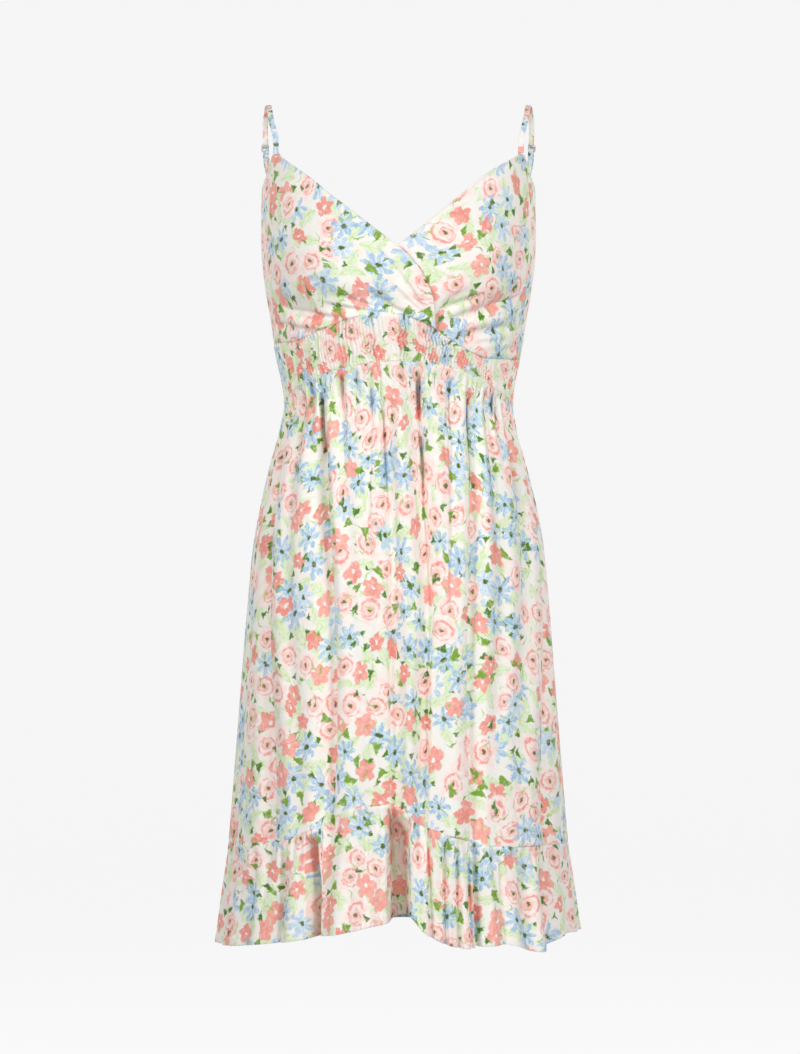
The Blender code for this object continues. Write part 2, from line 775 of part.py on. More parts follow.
def slotted_plate(name, route, place, width, lengths):
    """A small wire frame: bars across it in turn with slots, their lengths given along the strap."""
    centre, along, across, out = route.frame(place)
    along, across, out = unit(along), unit(across), unit(out)
    stops = np.concatenate([[0.0], np.cumsum(lengths)]) - sum(lengths) / 2
    sides = np.array([-width / 2, -width / 2 + HARDWARE_BAR, width / 2 - HARDWARE_BAR, width / 2])
    points = []
    for rise in (-HARDWARE_THICKNESS / 2, HARDWARE_THICKNESS / 2):
        for stop in stops:
            for offset in sides:
                points.append(centre + stop * along + offset * across + rise * out)
    layer = len(stops) * 4

    def solid(row, column):
        inside = 0 <= row < len(stops) - 1 and 0 <= column < 3
        return inside and not (column == 1 and row % 2 == 1)

    faces = []
    for row in range(len(stops) - 1):
        for column in range(3):
            if not solid(row, column):
                continue
            low, high = row * 4 + column, (row + 1) * 4 + column
            corners = [low, low + 1, high + 1, high]
            faces.append([corner + layer for corner in corners])
            faces.append(corners[::-1])
            neighbours = [(row - 1, column), (row, column + 1), (row + 1, column), (row, column - 1)]
            for edge, (next_row, next_column) in enumerate(neighbours):
                if not solid(next_row, next_column):
                    first, second = corners[edge], corners[(edge + 1) % 4]
                    faces.append([first, second, second + layer, first + layer])
    return make_object(name, points, faces, METAL_COLOUR, METAL_ROUGHNESS, 1.0)


def strap_side(name, side):
    route = Route(side)
    slider, ring = strap_places(route)
    strap("strap_" + name, route)
    strap_tab("strap_tab_" + name, route)
    slider_lengths = [HARDWARE_BAR, SLIDER_SLOT, HARDWARE_BAR, SLIDER_SLOT, HARDWARE_BAR]
    slotted_plate("slider_" + name, route, slider, SLIDER_WIDTH, slider_lengths)
    slotted_plate("ring_" + name, route, ring, RING_WIDTH, [HARDWARE_BAR, RING_SLOT, HARDWARE_BAR])


def face_outward():
    """Turns every object's faces outward."""
    for thing in bpy.context.scene.collection.objects:
        mesh = thing.data
        mesh.calc_loop_triangles()
        volume = 0.0
        for triangle in mesh.loop_triangles:
            a, b, c = (Vector(mesh.vertices[corner].co) for corner in triangle.vertices)
            volume += a.dot(b.cross(c))
        if volume < 0:
            mesh.flip_normals()


def main():
    clear_scene()
    front_bodice("bodice_front_right", upper_bodice, -1, RIGHT_NECK_EDGE)
    front_bodice("bodice_front_left", lower_bodice, 1, LEFT_NECK_EDGE)
    back_bodice()
    waistband("waistband_front", -90.0)
    waistband("waistband_back", 90.0)
    skirt_panel("skirt_front", -90.0)
    skirt_panel("skirt_back", 90.0)
    ruffle("ruffle_front", -90.0)
    ruffle("ruffle_back", 90.0)
    strap_side("left", 1)
    strap_side("right", -1)
    face_outward()


main()
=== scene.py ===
"""Scene for the wrap-front mini dress: fine cloth, flower print, stitching, light and camera.

Every cloth piece of the model is made again as a thin shell on the same form, with finer gathers and
creases. Sizes are in millimetres and angles in degrees, as in the model: 0 is the centre front, 90 the
wearer's left side seam (+X), 180 the centre back and -90 the right side seam. The front faces -Y.
"""

import math
from functools import partial

import bpy
import numpy as np
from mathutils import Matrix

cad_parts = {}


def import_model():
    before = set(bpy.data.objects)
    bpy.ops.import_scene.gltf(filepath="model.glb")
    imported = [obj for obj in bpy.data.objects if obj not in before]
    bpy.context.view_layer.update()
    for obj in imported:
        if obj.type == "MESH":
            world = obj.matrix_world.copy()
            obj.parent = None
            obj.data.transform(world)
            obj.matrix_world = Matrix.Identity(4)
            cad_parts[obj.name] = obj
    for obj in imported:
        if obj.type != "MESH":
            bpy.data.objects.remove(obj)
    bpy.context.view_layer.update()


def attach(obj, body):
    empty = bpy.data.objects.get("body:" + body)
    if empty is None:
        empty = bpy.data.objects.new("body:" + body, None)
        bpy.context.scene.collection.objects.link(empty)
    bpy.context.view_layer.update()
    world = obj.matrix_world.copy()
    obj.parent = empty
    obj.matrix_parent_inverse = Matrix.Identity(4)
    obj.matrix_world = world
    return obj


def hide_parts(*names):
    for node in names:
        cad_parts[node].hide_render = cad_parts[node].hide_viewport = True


METRES = 0.001
CLOTH = 0.7
SEAM_GAP = 0.3
SEAM_LAP = 2.5
SIDE_SEAM = 90.0
PROBE_ANGLE = 0.2
WANDER_KNOTS = 512
WANDER_START = 40.0

# The bare form: its half width, its depth in front of and behind the side seams, and how square it is.
FORM = [
    # height, half_width, front, back, squareness
    (-910.0, 192.5, 157.0, 157.0, 2.1),
    (-782.0, 180.0, 148.0, 148.0, 2.1),
    (-654.0, 169.6, 140.0, 140.0, 2.1),
    (-537.0, 160.0, 131.0, 132.0, 2.1),
    (-462.0, 152.5, 121.0, 124.0, 2.1),
    (-409.0, 143.0, 111.0, 113.0, 2.1),
    (-370.0, 134.0, 101.0, 101.0, 2.1),
    (-340.0, 125.5, 94.0, 91.0, 2.1),
    (-316.0, 121.7, 90.0, 85.0, 2.1),
    (-292.0, 124.5, 92.0, 85.0, 2.1),
    (-260.0, 131.5, 98.0, 88.0, 2.15),
    (-228.0, 136.0, 106.0, 94.0, 2.2),
    (-196.0, 141.6, 111.0, 99.0, 2.25),
    (-155.0, 145.8, 111.0, 103.0, 2.3),
    (-120.0, 146.0, 105.0, 100.0, 2.35),
    (-87.0, 145.0, 96.0, 94.0, 2.4),
    (-40.0, 139.0, 84.0, 84.0, 2.4),
]

BUST_ANGLE = 31.0
BUST_HEIGHT = -172.0
BUST_FULLNESS = 12.0
BUST_SPREAD_ANGLE = 24.0
BUST_SPREAD_HEIGHT = 46.0

# Seams and edges that go round the dress.
BAND_TOP = [
    # angle, height
    (-90.0, -255.0),
    (-56.0, -255.0),
    (-34.0, -243.0),
    (-22.0, -235.0),
    (-10.0, -229.0),
    (3.0, -232.0),
    (13.0, -242.0),
    (23.0, -256.0),
    (36.0, -269.0),
    (48.0, -273.0),
    (90.0, -271.0),
    (135.0, -266.0),
    (180.0, -263.0),
    (225.0, -260.0),
]
BAND_BOTTOM = [
    # angle, height
    (-90.0, -318.0),
    (-60.0, -302.0),
    (-25.0, -283.0),
    (0.0, -277.0),
    (25.0, -283.0),
    (60.0, -306.0),
    (90.0, -320.0),
    (135.0, -318.0),
    (180.0, -316.0),
    (225.0, -317.0),
]
RUFFLE_SEAM = [
    # angle, height
    (-90.0, -782.0),
    (-43.0, -771.0),
    (-27.0, -756.0),
    (-17.0, -738.0),
    (-3.0, -731.0),
    (4.0, -746.0),
    (10.0, -757.0),
    (20.0, -765.0),
    (30.0, -775.0),
    (50.0, -777.0),
    (90.0, -783.0),
    (135.0, -782.0),
    (180.0, -779.0),
    (225.0, -782.0),
]
HEM = [
    # angle, height
    (-90.0, -889.0),
    (-41.0, -874.0),
    (-23.0, -864.0),
    (-15.0, -859.0),
    (-3.0, -849.0),
    (3.0, -844.0),
    (7.0, -858.0),
    (14.0, -871.0),
    (22.0, -876.0),
    (34.0, -874.0),
    (50.0, -885.0),
    (58.0, -881.0),
    (68.0, -872.0),
    (90.0, -876.0),
    (135.0, -888.0),
    (180.0, -885.0),
    (225.0, -887.0),
]

# Edges of the bodice's pieces. Each neck edge runs from the strap down to the waistband.
RIGHT_NECK_EDGE = [
    # angle, height
    (-59.5, -57.0),
    (-36.0, -84.0),
    (-25.0, -103.0),
    (-12.0, -130.0),
    (-1.0, -157.0),
    (7.5, -187.0),
    (12.5, -214.0),
    (15.0, -244.0),
]
LEFT_NECK_EDGE = [
    # angle, height
    (60.5, -57.0),
    (37.0, -79.0),
    (20.0, -109.0),
    (11.0, -130.0),
    (0.0, -158.0),
    (-7.5, -187.0),
    (-12.5, -212.0),
    (-15.0, -231.0),
]
ARMHOLE = [
    # angle, height
    (90.0, -91.0),
    (82.0, -88.5),
    (75.5, -81.0),
    (71.0, -70.0),
    (68.0, -57.0),
]
BACK_TOP = [
    # angle, height
    (90.0, -91.0),
    (104.0, -112.0),
    (120.0, -130.0),
    (130.0, -130.0),
    (150.0, -146.0),
    (180.0, -152.0),
    (210.0, -146.0),
    (230.0, -130.0),
    (240.0, -130.0),
    (256.0, -112.0),
    (270.0, -91.0),
]

OVERLAP_LIFT = 2.4
OVERLAP_FROM = -40.0
OVERLAP_TO = -19.0

# Creases of the front bodice, which run out from the gathers at the crossing.
BODICE_CREASES = [
    # from_angle, from_height, to_angle, to_height, width, depth
    (1.0, -222.0, -12.0, -203.0, 9.0, 3.4),
    (-8.0, -222.0, -38.0, -206.0, 9.0, 3.6),
    (-22.0, -230.0, -62.0, -214.0, 9.0, 4.0),
    (18.0, -222.0, 34.0, -206.0, 9.0, 3.0),
    (22.0, -233.0, 62.0, -203.0, 9.0, 4.4),
    (30.0, -250.0, 58.0, -238.0, 8.0, 3.4),
]

# Sharper creases, each along a line of points: the cloth drops at the line and rises slowly below it.
BODICE_LINES = [
    # width, depth, and the line's points as angle and height
    (9.0, 2.5, [(-9.0, -149.0), (-4.6, -167.0), (0.6, -189.0), (3.2, -200.0), (7.1, -216.0), (12.0, -234.0)]),
    (9.0, 5.5, [(-12.0, -200.0), (-9.3, -207.0), (-3.4, -217.0), (0.4, -225.0), (8.0, -232.0)]),
    (8.0, 4.2, [(-36.0, -214.0), (-26.5, -219.0), (-15.2, -224.0), (-7.0, -227.0), (2.0, -231.0)]),
    (9.0, 4.9, [(-62.0, -217.0), (-53.0, -221.0), (-43.0, -224.0), (-31.0, -230.0), (-20.0, -233.5)]),
    (7.0, 3.4, [(-78.0, -231.0), (-62.0, -235.0), (-46.0, -241.0), (-34.0, -242.5)]),
    (6.0, 2.1, [(-4.0, -192.0), (0.0, -205.0), (4.0, -217.0), (9.0, -229.0)]),
    (6.0, 2.2, [(-28.0, -206.0), (-18.0, -213.0), (-8.0, -221.0), (0.0, -228.0)]),
    (6.0, 2.0, [(-52.0, -229.0), (-40.0, -231.5), (-29.0, -237.0)]),
    (7.0, 3.4, [(13.5, -228.0), (19.9, -219.0), (30.0, -211.0), (38.0, -207.0)]),
    (9.0, 6.0, [(16.0, -237.0), (26.6, -229.0), (36.0, -222.0), (45.6, -216.0), (59.0, -209.0), (68.0, -201.0)]),
    (8.0, 4.7, [(22.0, -251.0), (35.6, -244.7), (40.8, -241.8), (54.0, -238.5), (66.0, -236.0)]),
    (6.0, 2.1, [(15.0, -222.0), (21.0, -211.0), (27.0, -203.0)]),
    (6.0, 2.3, [(20.0, -239.0), (32.0, -232.0), (46.0, -227.0), (58.0, -222.0)]),
    (6.0, 2.1, [(31.0, -258.0), (44.0, -254.0), (60.0, -251.0)]),
    (6.0, 1.8, [(46.0, -264.0), (58.0, -261.0), (74.0, -258.0)]),
]
LINE_SOFTNESS = 0.14

# Folds of the skirt: the angle of each at the waistband, the hip and the ruffle, and where it starts.
SKIRT_FOLDS = [
    # at_waist, at_hip, at_ruffle, starts, width, depth
    (-83.0, -80.0, -76.0, -340.0, 13.0, 4.0),
    (-70.0, -62.0, -47.0, -350.0, 12.0, 6.0),
    (-55.0, -47.0, -35.0, -318.0, 9.0, 3.5),
    (-40.0, -26.0, -22.0, -332.0, 9.0, 9.0),
    (-27.0, -18.0, -14.0, -292.0, 8.0, 3.0),
    (-12.5, -10.0, -9.0, -290.0, 9.0, 4.0),
    (-7.5, -3.0, -2.0, -310.0, 9.0, 6.0),
    (9.5, 11.5, 8.5, -290.0, 9.0, 10.0),
    (24.5, 19.0, 15.0, -292.0, 8.0, 3.0),
    (37.0, 28.0, 24.0, -305.0, 11.0, 6.0),
    (52.0, 43.0, 34.0, -325.0, 10.0, 4.0),
    (66.0, 57.0, 45.0, -340.0, 11.0, 5.0),
    (85.0, 79.0, 60.0, -380.0, 13.0, 8.0),
    (101.0, 101.0, 100.0, -350.0, 12.0, 6.0),
    (119.0, 120.0, 121.0, -330.0, 10.0, 8.0),
    (133.0, 136.0, 138.0, -322.0, 9.0, 4.0),
    (149.0, 152.0, 154.0, -320.0, 10.0, 9.0),
    (163.0, 166.0, 169.0, -322.0, 9.0, 4.0),
    (176.0, 178.0, 181.0, -320.0, 10.0, 7.0),
    (191.0, 190.0, 191.0, -322.0, 9.0, 4.0),
    (205.0, 205.0, 206.0, -320.0, 10.0, 9.0),
    (222.0, 219.0, 218.0, -322.0, 9.0, 4.0),
    (237.0, 236.0, 236.0, -330.0, 10.0, 8.0),
    (256.0, 257.0, 258.0, -350.0, 12.0, 5.0),
]
WAIST = -310.0
HIP = -500.0
FOLDS_SETTLE = -760.0
FOLDS_END = -900.0
FOLD_FADE = 55.0
FOLD_SPREAD = 0.35

# Lines where a fold doubles over: the cloth drops steeply at the line, on the side that drops says, and
# rises again over the width. Each names its fold by the fold's angle at the waistband.
SKIRT_LINES = [
    # fold, starts, ends, drops, width, depth
    (-40.0, -352.0, -790.0, -1.0, 20.0, 10.5),
    (9.5, -286.0, -790.0, -1.0, 18.0, 10.0),
    (-7.5, -315.0, -790.0, 1.0, 15.0, 9.5),
    (-12.5, -284.0, -480.0, -1.0, 9.0, 3.4),
    (-27.0, -286.0, -400.0, -1.0, 9.0, 3.8),
    (24.5, -288.0, -540.0, 1.0, 11.0, 4.2),
    (37.0, -305.0, -790.0, 1.0, 13.0, 8.4),
    (52.0, -312.0, -470.0, -1.0, 12.0, 4.4),
    (66.0, -330.0, -540.0, 1.0, 13.0, 5.0),
    (85.0, -340.0, -790.0, 1.0, 18.0, 6.0),
    (-55.0, -306.0, -430.0, -1.0, 9.0, 3.8),
    (-70.0, -330.0, -790.0, -1.0, 16.0, 6.0),
    (119.0, -325.0, -640.0, -1.0, 15.0, 5.0),
    (149.0, -320.0, -790.0, -1.0, 19.0, 9.0),
    (176.0, -320.0, -600.0, 1.0, 13.0, 4.4),
    (205.0, -320.0, -790.0, 1.0, 19.0, 9.0),
    (237.0, -325.0, -640.0, 1.0, 15.0, 5.0),
]
LINE_STEEPNESS = 0.11
LINE_SWAY = 1.6
FOLD_KEPT = 0.8

# Deep, narrow slots between the gathers under the waistband.
SKIRT_SLOTS = [
    # width, depth, and the slot's points as angle and height, from its top down
    (1.5, 16.0, [(-41.0, -306.0), (-40.5, -316.0), (-38.5, -338.0), (-36.5, -362.0), (-35.0, -388.0)]),
    (1.2, 11.5, [(-27.4, -290.0), (-27.9, -304.0), (-28.2, -322.0)]),
    (1.2, 10.3, [(-55.6, -304.0), (-53.0, -316.0), (-50.5, -330.0)]),
    (1.8, 4.6, [(-8.0, -318.0), (-6.6, -345.0), (-5.0, -403.0), (-3.6, -450.0)]),
    (1.1, 4.0, [(-12.9, -306.0), (-12.3, -322.0), (-11.6, -345.0)]),
    (1.4, 5.8, [(-74.0, -360.0), (-71.0, -388.0), (-68.5, -420.0)]),
    (1.5, 5.2, [(-67.0, -440.0), (-62.0, -490.0), (-57.5, -545.0)]),
    (1.7, 17.2, [(9.0, -291.0), (9.4, -303.0), (9.9, -320.0), (10.2, -340.0)]),
    (1.3, 9.2, [(10.2, -350.0), (10.4, -384.0), (10.4, -424.0)]),
    (1.2, 3.4, [(24.9, -290.0), (24.6, -320.0), (23.4, -392.0)]),
    (1.3, 10.3, [(36.9, -306.0), (35.6, -328.0), (33.0, -372.0), (30.0, -430.0)]),
    (1.1, 7.5, [(47.2, -304.0), (46.4, -314.0), (45.4, -326.0)]),
    (1.2, 11.5, [(54.0, -306.0), (53.0, -320.0), (51.6, -340.0)]),
    (1.1, 6.9, [(57.6, -310.0), (56.8, -320.0), (56.0, -332.0)]),
    (1.5, 10.3, [(64.2, -324.0), (65.2, -362.0), (63.4, -412.0), (58.0, -468.0)]),
    (1.1, 6.3, [(74.5, -318.0), (74.0, -330.0), (73.0, -348.0)]),
    (1.1, 6.3, [(-66.0, -310.0), (-65.0, -324.0), (-63.0, -344.0)]),
    (1.1, 5.2, [(-47.5, -298.0), (-46.0, -312.0), (-44.0, -326.0)]),
    (1.1, 5.2, [(-19.4, -286.0), (-19.0, -300.0), (-18.4, -316.0)]),
    (1.1, 5.2, [(16.6, -286.0), (16.4, -300.0), (16.0, -318.0)]),
    (1.1, 4.6, [(1.2, -282.0), (1.5, -296.0), (1.9, -312.0)]),
    (1.4, 11.5, [(149.0, -314.0), (149.8, -334.0), (150.6, -366.0)]),
    (1.1, 6.9, [(163.4, -312.0), (163.6, -326.0), (164.0, -346.0)]),
    (1.4, 10.3, [(176.4, -312.0), (176.8, -332.0), (177.4, -372.0)]),
    (1.1, 6.3, [(190.8, -312.0), (190.6, -326.0), (190.4, -344.0)]),
    (1.4, 11.5, [(205.0, -314.0), (205.0, -336.0), (205.0, -370.0)]),
    (1.1, 6.3, [(219.6, -314.0), (219.0, -330.0), (218.4, -350.0)]),
    (1.1, 5.8, [(134.4, -314.0), (134.8, -328.0), (135.4, -346.0)]),
    (1.2, 6.9, [(120.0, -316.0), (120.2, -334.0), (120.2, -362.0)]),
    (1.2, 6.9, [(236.8, -316.0), (236.6, -334.0), (236.4, -364.0)]),
]

# Waves of the ruffle, deepest at its hem.
RUFFLE_WAVES = [
    # angle, width, depth
    (-82.0, 13.0, 5.0),
    (-69.0, 11.0, 4.0),
    (-57.0, 12.0, 5.5),
    (-41.0, 11.0, 7.0),
    (-32.0, 8.0, 3.5),
    (-26.4, 11.0, 13.0),
    (-15.5, 8.0, 4.0),
    (-8.0, 8.0, 4.0),
    (1.5, 12.0, 12.0),
    (11.5, 8.0, 6.0),
    (17.5, 8.0, 6.0),
    (26.0, 10.0, 7.0),
    (35.0, 9.0, 4.5),
    (44.0, 10.0, 6.0),
    (57.0, 12.0, 9.0),
    (70.0, 10.0, 5.0),
    (83.0, 12.0, 7.0),
    (97.0, 12.0, 6.0),
    (110.0, 11.0, 5.0),
    (122.0, 12.0, 8.0),
    (134.0, 10.0, 5.0),
    (144.0, 9.0, 4.5),
    (155.0, 12.0, 9.0),
    (166.0, 9.0, 4.5),
    (175.0, 9.0, 5.0),
    (185.0, 11.0, 8.0),
    (196.0, 9.0, 4.5),
    (207.0, 12.0, 9.0),
    (218.0, 9.0, 5.0),
    (228.0, 10.0, 4.5),
    (239.0, 12.0, 8.0),
    (252.0, 11.0, 5.0),
    (264.0, 12.0, 6.0),
]
RUFFLE_FLARE = 3.0
FOLD_LOSS = 0.2

# Hollows of the ruffle between two folds that stand in front of them.
RUFFLE_HOLLOWS = [
    # at_seam, at_hem, half_width, edge, depth
    (-29.4, -27.2, 5.0, 1.0, 26.0),
    (-0.4, 0.4, 9.6, 1.1, 30.0),
    (-41.6, -40.6, 2.0, 1.3, 8.0),
    (9.4, 9.9, 2.0, 1.2, 7.0),
    (14.6, 14.0, 2.0, 1.1, 9.0),
    (18.9, 18.4, 1.8, 1.0, 8.0),
    (23.0, 22.6, 1.5, 1.0, 7.0),
    (25.8, 25.2, 2.6, 1.2, 10.0),
    (55.6, 54.8, 3.4, 1.4, 13.0),
    (-9.4, -10.4, 1.5, 1.1, 3.0),
    (35.2, 34.4, 1.6, 1.2, 3.5),
    (-68.0, -69.5, 2.4, 1.5, 4.5),
    (122.0, 123.0, 3.4, 1.7, 7.0),
    (154.6, 155.6, 5.0, 1.7, 10.0),
    (185.6, 184.4, 3.4, 1.6, 8.0),
    (207.0, 206.4, 5.0, 1.7, 10.0),
    (239.0, 240.0, 3.4, 1.7, 7.0),
]

# Straps, with the slider and the ring that set their length behind the shoulder.
STRAP_WIDTH = 6.0
STRAP_THICKNESS = 1.0
STRAP_JOIN_ANGLE = 63.75
STRAP_BACK_ANGLE = 125.0
MODEL_CLOTH = 1.2
SHOULDER_CENTRE = (125.0, 5.0, -70.0)
STRAP_LEAD = 12.0
STRAP_LEAN = 1.5
STRAP_ROUTE = [
    # x, y, height, between the front panel's top and the back panel's top edge
    (134.0, -29.0, -20.0),
    (139.0, 0.0, 0.55),
    (142.5, 20.0, -14.0),
    (143.5, 34.0, -42.0),
    (135.0, 51.0, -84.0),
]
SLIDER_PLACE = 0.575
SLIDER_APPROACH = 16.0
DOUBLED_FROM = 14.0
RING_TO_EDGE = 9.0
HARDWARE_BAR = 0.9
SLIDER_SLOT = 2.8
RING_SLOT = 4.6
TURN_RADIUS = 1.5
LONG_STEP = 4.0
FINE_STEP = 0.8
STRAP_STACK = 1.4
TAB_LEG = 0.68

HARDWARE_RADIUS = 0.44
HARDWARE_WIDTH = 8.6
HARDWARE_CORNER = 1.3
WIRE_SIDES = 8
STRAP_WALL = 0.3
STRAP_ROUND = 12
STRAP_PRINTS = {
    # Where each strap's cloth lies in the print.
    "strap_left": (1440.0, 1440.0),
    "strap_right": (1577.0, 1531.0),
    "strap_tab_left": (1800.0, 1800.0),
    "strap_tab_right": (1890.0, 1890.0),
}

# Rows of points close to an edge, by their distance from it.
SEAM_ROWS = [0.0, 0.8, 1.8, 3.2]
NECK_ROWS = [0.0, 0.6, 1.4, 3.0, 4.4, 5.0, 5.6]
HEM_ROWS = [0.0, 0.5, 1.2, 3.5, 6.5, 8.2, 9.0, 9.8, 11.0]

# Sewing. A folded edge stands out over its width, and a stitch is a short arch of thread.
NECK_FOLD = 5.0
HEM_FOLD = 9.0
FOLDED_RISE = 0.45
STITCH_INSET = 0.9
STITCH_LENGTH = 2.1
STITCH_GAP = 0.7
STITCH_RADIUS = 0.17
STITCH_RISE = 0.1
SHIRR_STITCH = 1.5
SHIRR_GAP = 1.3
ELASTIC_RADIUS = 0.32
ELASTIC_STEP = 1.6
TACK_STITCHES = 6
TACK_REACH = 2.3
TACK_LENGTH = 1.8
TACK_FROM_FRONT = 3.0
TACK_FROM_BACK = 2.2
SHIRR_ROWS = 9
SHIRR_PITCH = 5.8
SHIRR_DEPTH = 4.6
BODICE_SCALE = 2.55
BODICE_BIAS = 0.5
BODICE_COLUMNS = 148
SIDE_SEAM_ROWS = 84
ARMHOLE_ROWS = 60
BACK_COLUMNS = 130
BACK_ROWS = 70
BACK_LENGTH = 140.0

# Flat cut sizes of the pieces before gathering, width and length.
SKIRT_CUT = (600.0, 475.0)
RUFFLE_CUT = (780.0, 112.0)
BAND_CUT = (590.0, 52.0)

# Columns and rows of points of each gathered panel.
PANEL_POINTS = {
    "waistband_front": (640, 40),
    "waistband_back": (460, 34),
    "skirt_front": (440, 106),
    "skirt_back": (320, 76),
    "ruffle_front": (560, 46),
    "ruffle_back": (400, 36),
}

# Fine gathers that hang from a seam, by how far below it they grow and fade, and what is kept of them.
SKIRT_GATHERS = [
    # depth, pitch, grows_from, grows_to, fades_from, fades_to, kept
    (3.1, 9.5, -1.0, 7.0, 8.0, 50.0, 0.0),
    (3.8, 23.0, 0.0, 16.0, 30.0, 160.0, 0.0),
]
RUFFLE_GATHERS = [
    # depth, pitch, grows_from, grows_to, fades_from, fades_to, kept
    (3.0, 11.0, -1.0, 6.0, 8.0, 40.0, 0.0),
    (3.2, 27.0, 0.0, 12.0, 30.0, 100.0, 0.4),
]
LEVEL_AT_SEAM = 6.0
DITCH_WIDTH = 2.2
DITCH_DEPTH = 0.9
SEAM_TUCK = 0.95
ROLL_DEPTH = 0.5
ROLL_WIDTH = 2.2

CAMERA_PLACE = (0.0016, -3.0, -0.448)
CAMERA_LENS = 96.2
LIGHT_AIM = -0.58
FLOOR_HEIGHT = -1.38
STAGE_RADIUS = 6.0
STAGE_TOP = 5.0
STAGE_SIDES = 64
WALL_GLOW = 0.905
WORLD_GLOW = 0.22
LIGHTS = [
    # name, azimuth, elevation, distance, size, power
    ("left_softbox", -40.0, 20.0, 2.6, 0.9, 29.6),
    ("right_softbox", 39.0, 18.0, 2.6, 0.9, 31.4),
    ("low_front", 2.0, -12.0, 2.6, 1.1, 8.4),
    ("back_left_softbox", 142.0, 20.0, 2.8, 1.1, 31.0),
    ("back_right_softbox", -144.0, 20.0, 2.8, 1.1, 29.0),
]


# Colours of the print, the thread and the metal, as seen on a screen, from 0 to 255.
GROUND = (247, 244, 237)
GROUND_PEACH = (254, 235, 226)
GROUND_MINT = (232, 243, 216)
LEAF = (229, 241, 211)
LEAF_STROKE = (200, 221, 138)
BLUSH = (254, 226, 217)
ROSE_LINE = (248, 160, 149)
ROSE_SHADE = (252, 190, 176)
CORAL = (243, 153, 139)
CORAL_LIGHT = (254, 184, 171)
BLUE = (160, 198, 224)
PERIWINKLE = (170, 199, 227)
BLUE_LIGHT = (219, 234, 244)
CENTRE_GREEN = (84, 108, 26)
CENTRE_BROWN = (124, 112, 54)
DARK_GREEN = (84, 132, 34)
OLIVE = (128, 168, 58)
WHITE = (252, 251, 247)
YARN_SHADE = (214, 208, 200)
THREAD = (240, 232, 222)
THREAD_LIGHT = (252, 247, 240)
METAL = (196, 190, 184)
METAL_LIGHT = (222, 217, 210)

# Millimetres between the centres of neighbouring motifs of each layer.
FLOWER_PITCH = 28.0
LEAF_PITCH = 24.0
ACCENT_PITCH = 19.0
STEM_PITCH = 25.0
EDGE_SOFTNESS = 1.1
FLOWER_SCATTER = 0.72
PRINT_TURN = 0.43
INSIDE_FADE = 0.35

# A flower is a coral one where its dice is above the first of these, and a rose above the second.
FLOWER_LIMITS = (0.36, 0.68)


def tint(colour):
    """A screen colour as Blender's linear one."""
    values = np.array(colour) / 255.0
    linear = np.where(values <= 0.04045, values / 12.92, ((values + 0.055) / 1.055) ** 2.4)
    return (*linear.tolist(), 1.0)


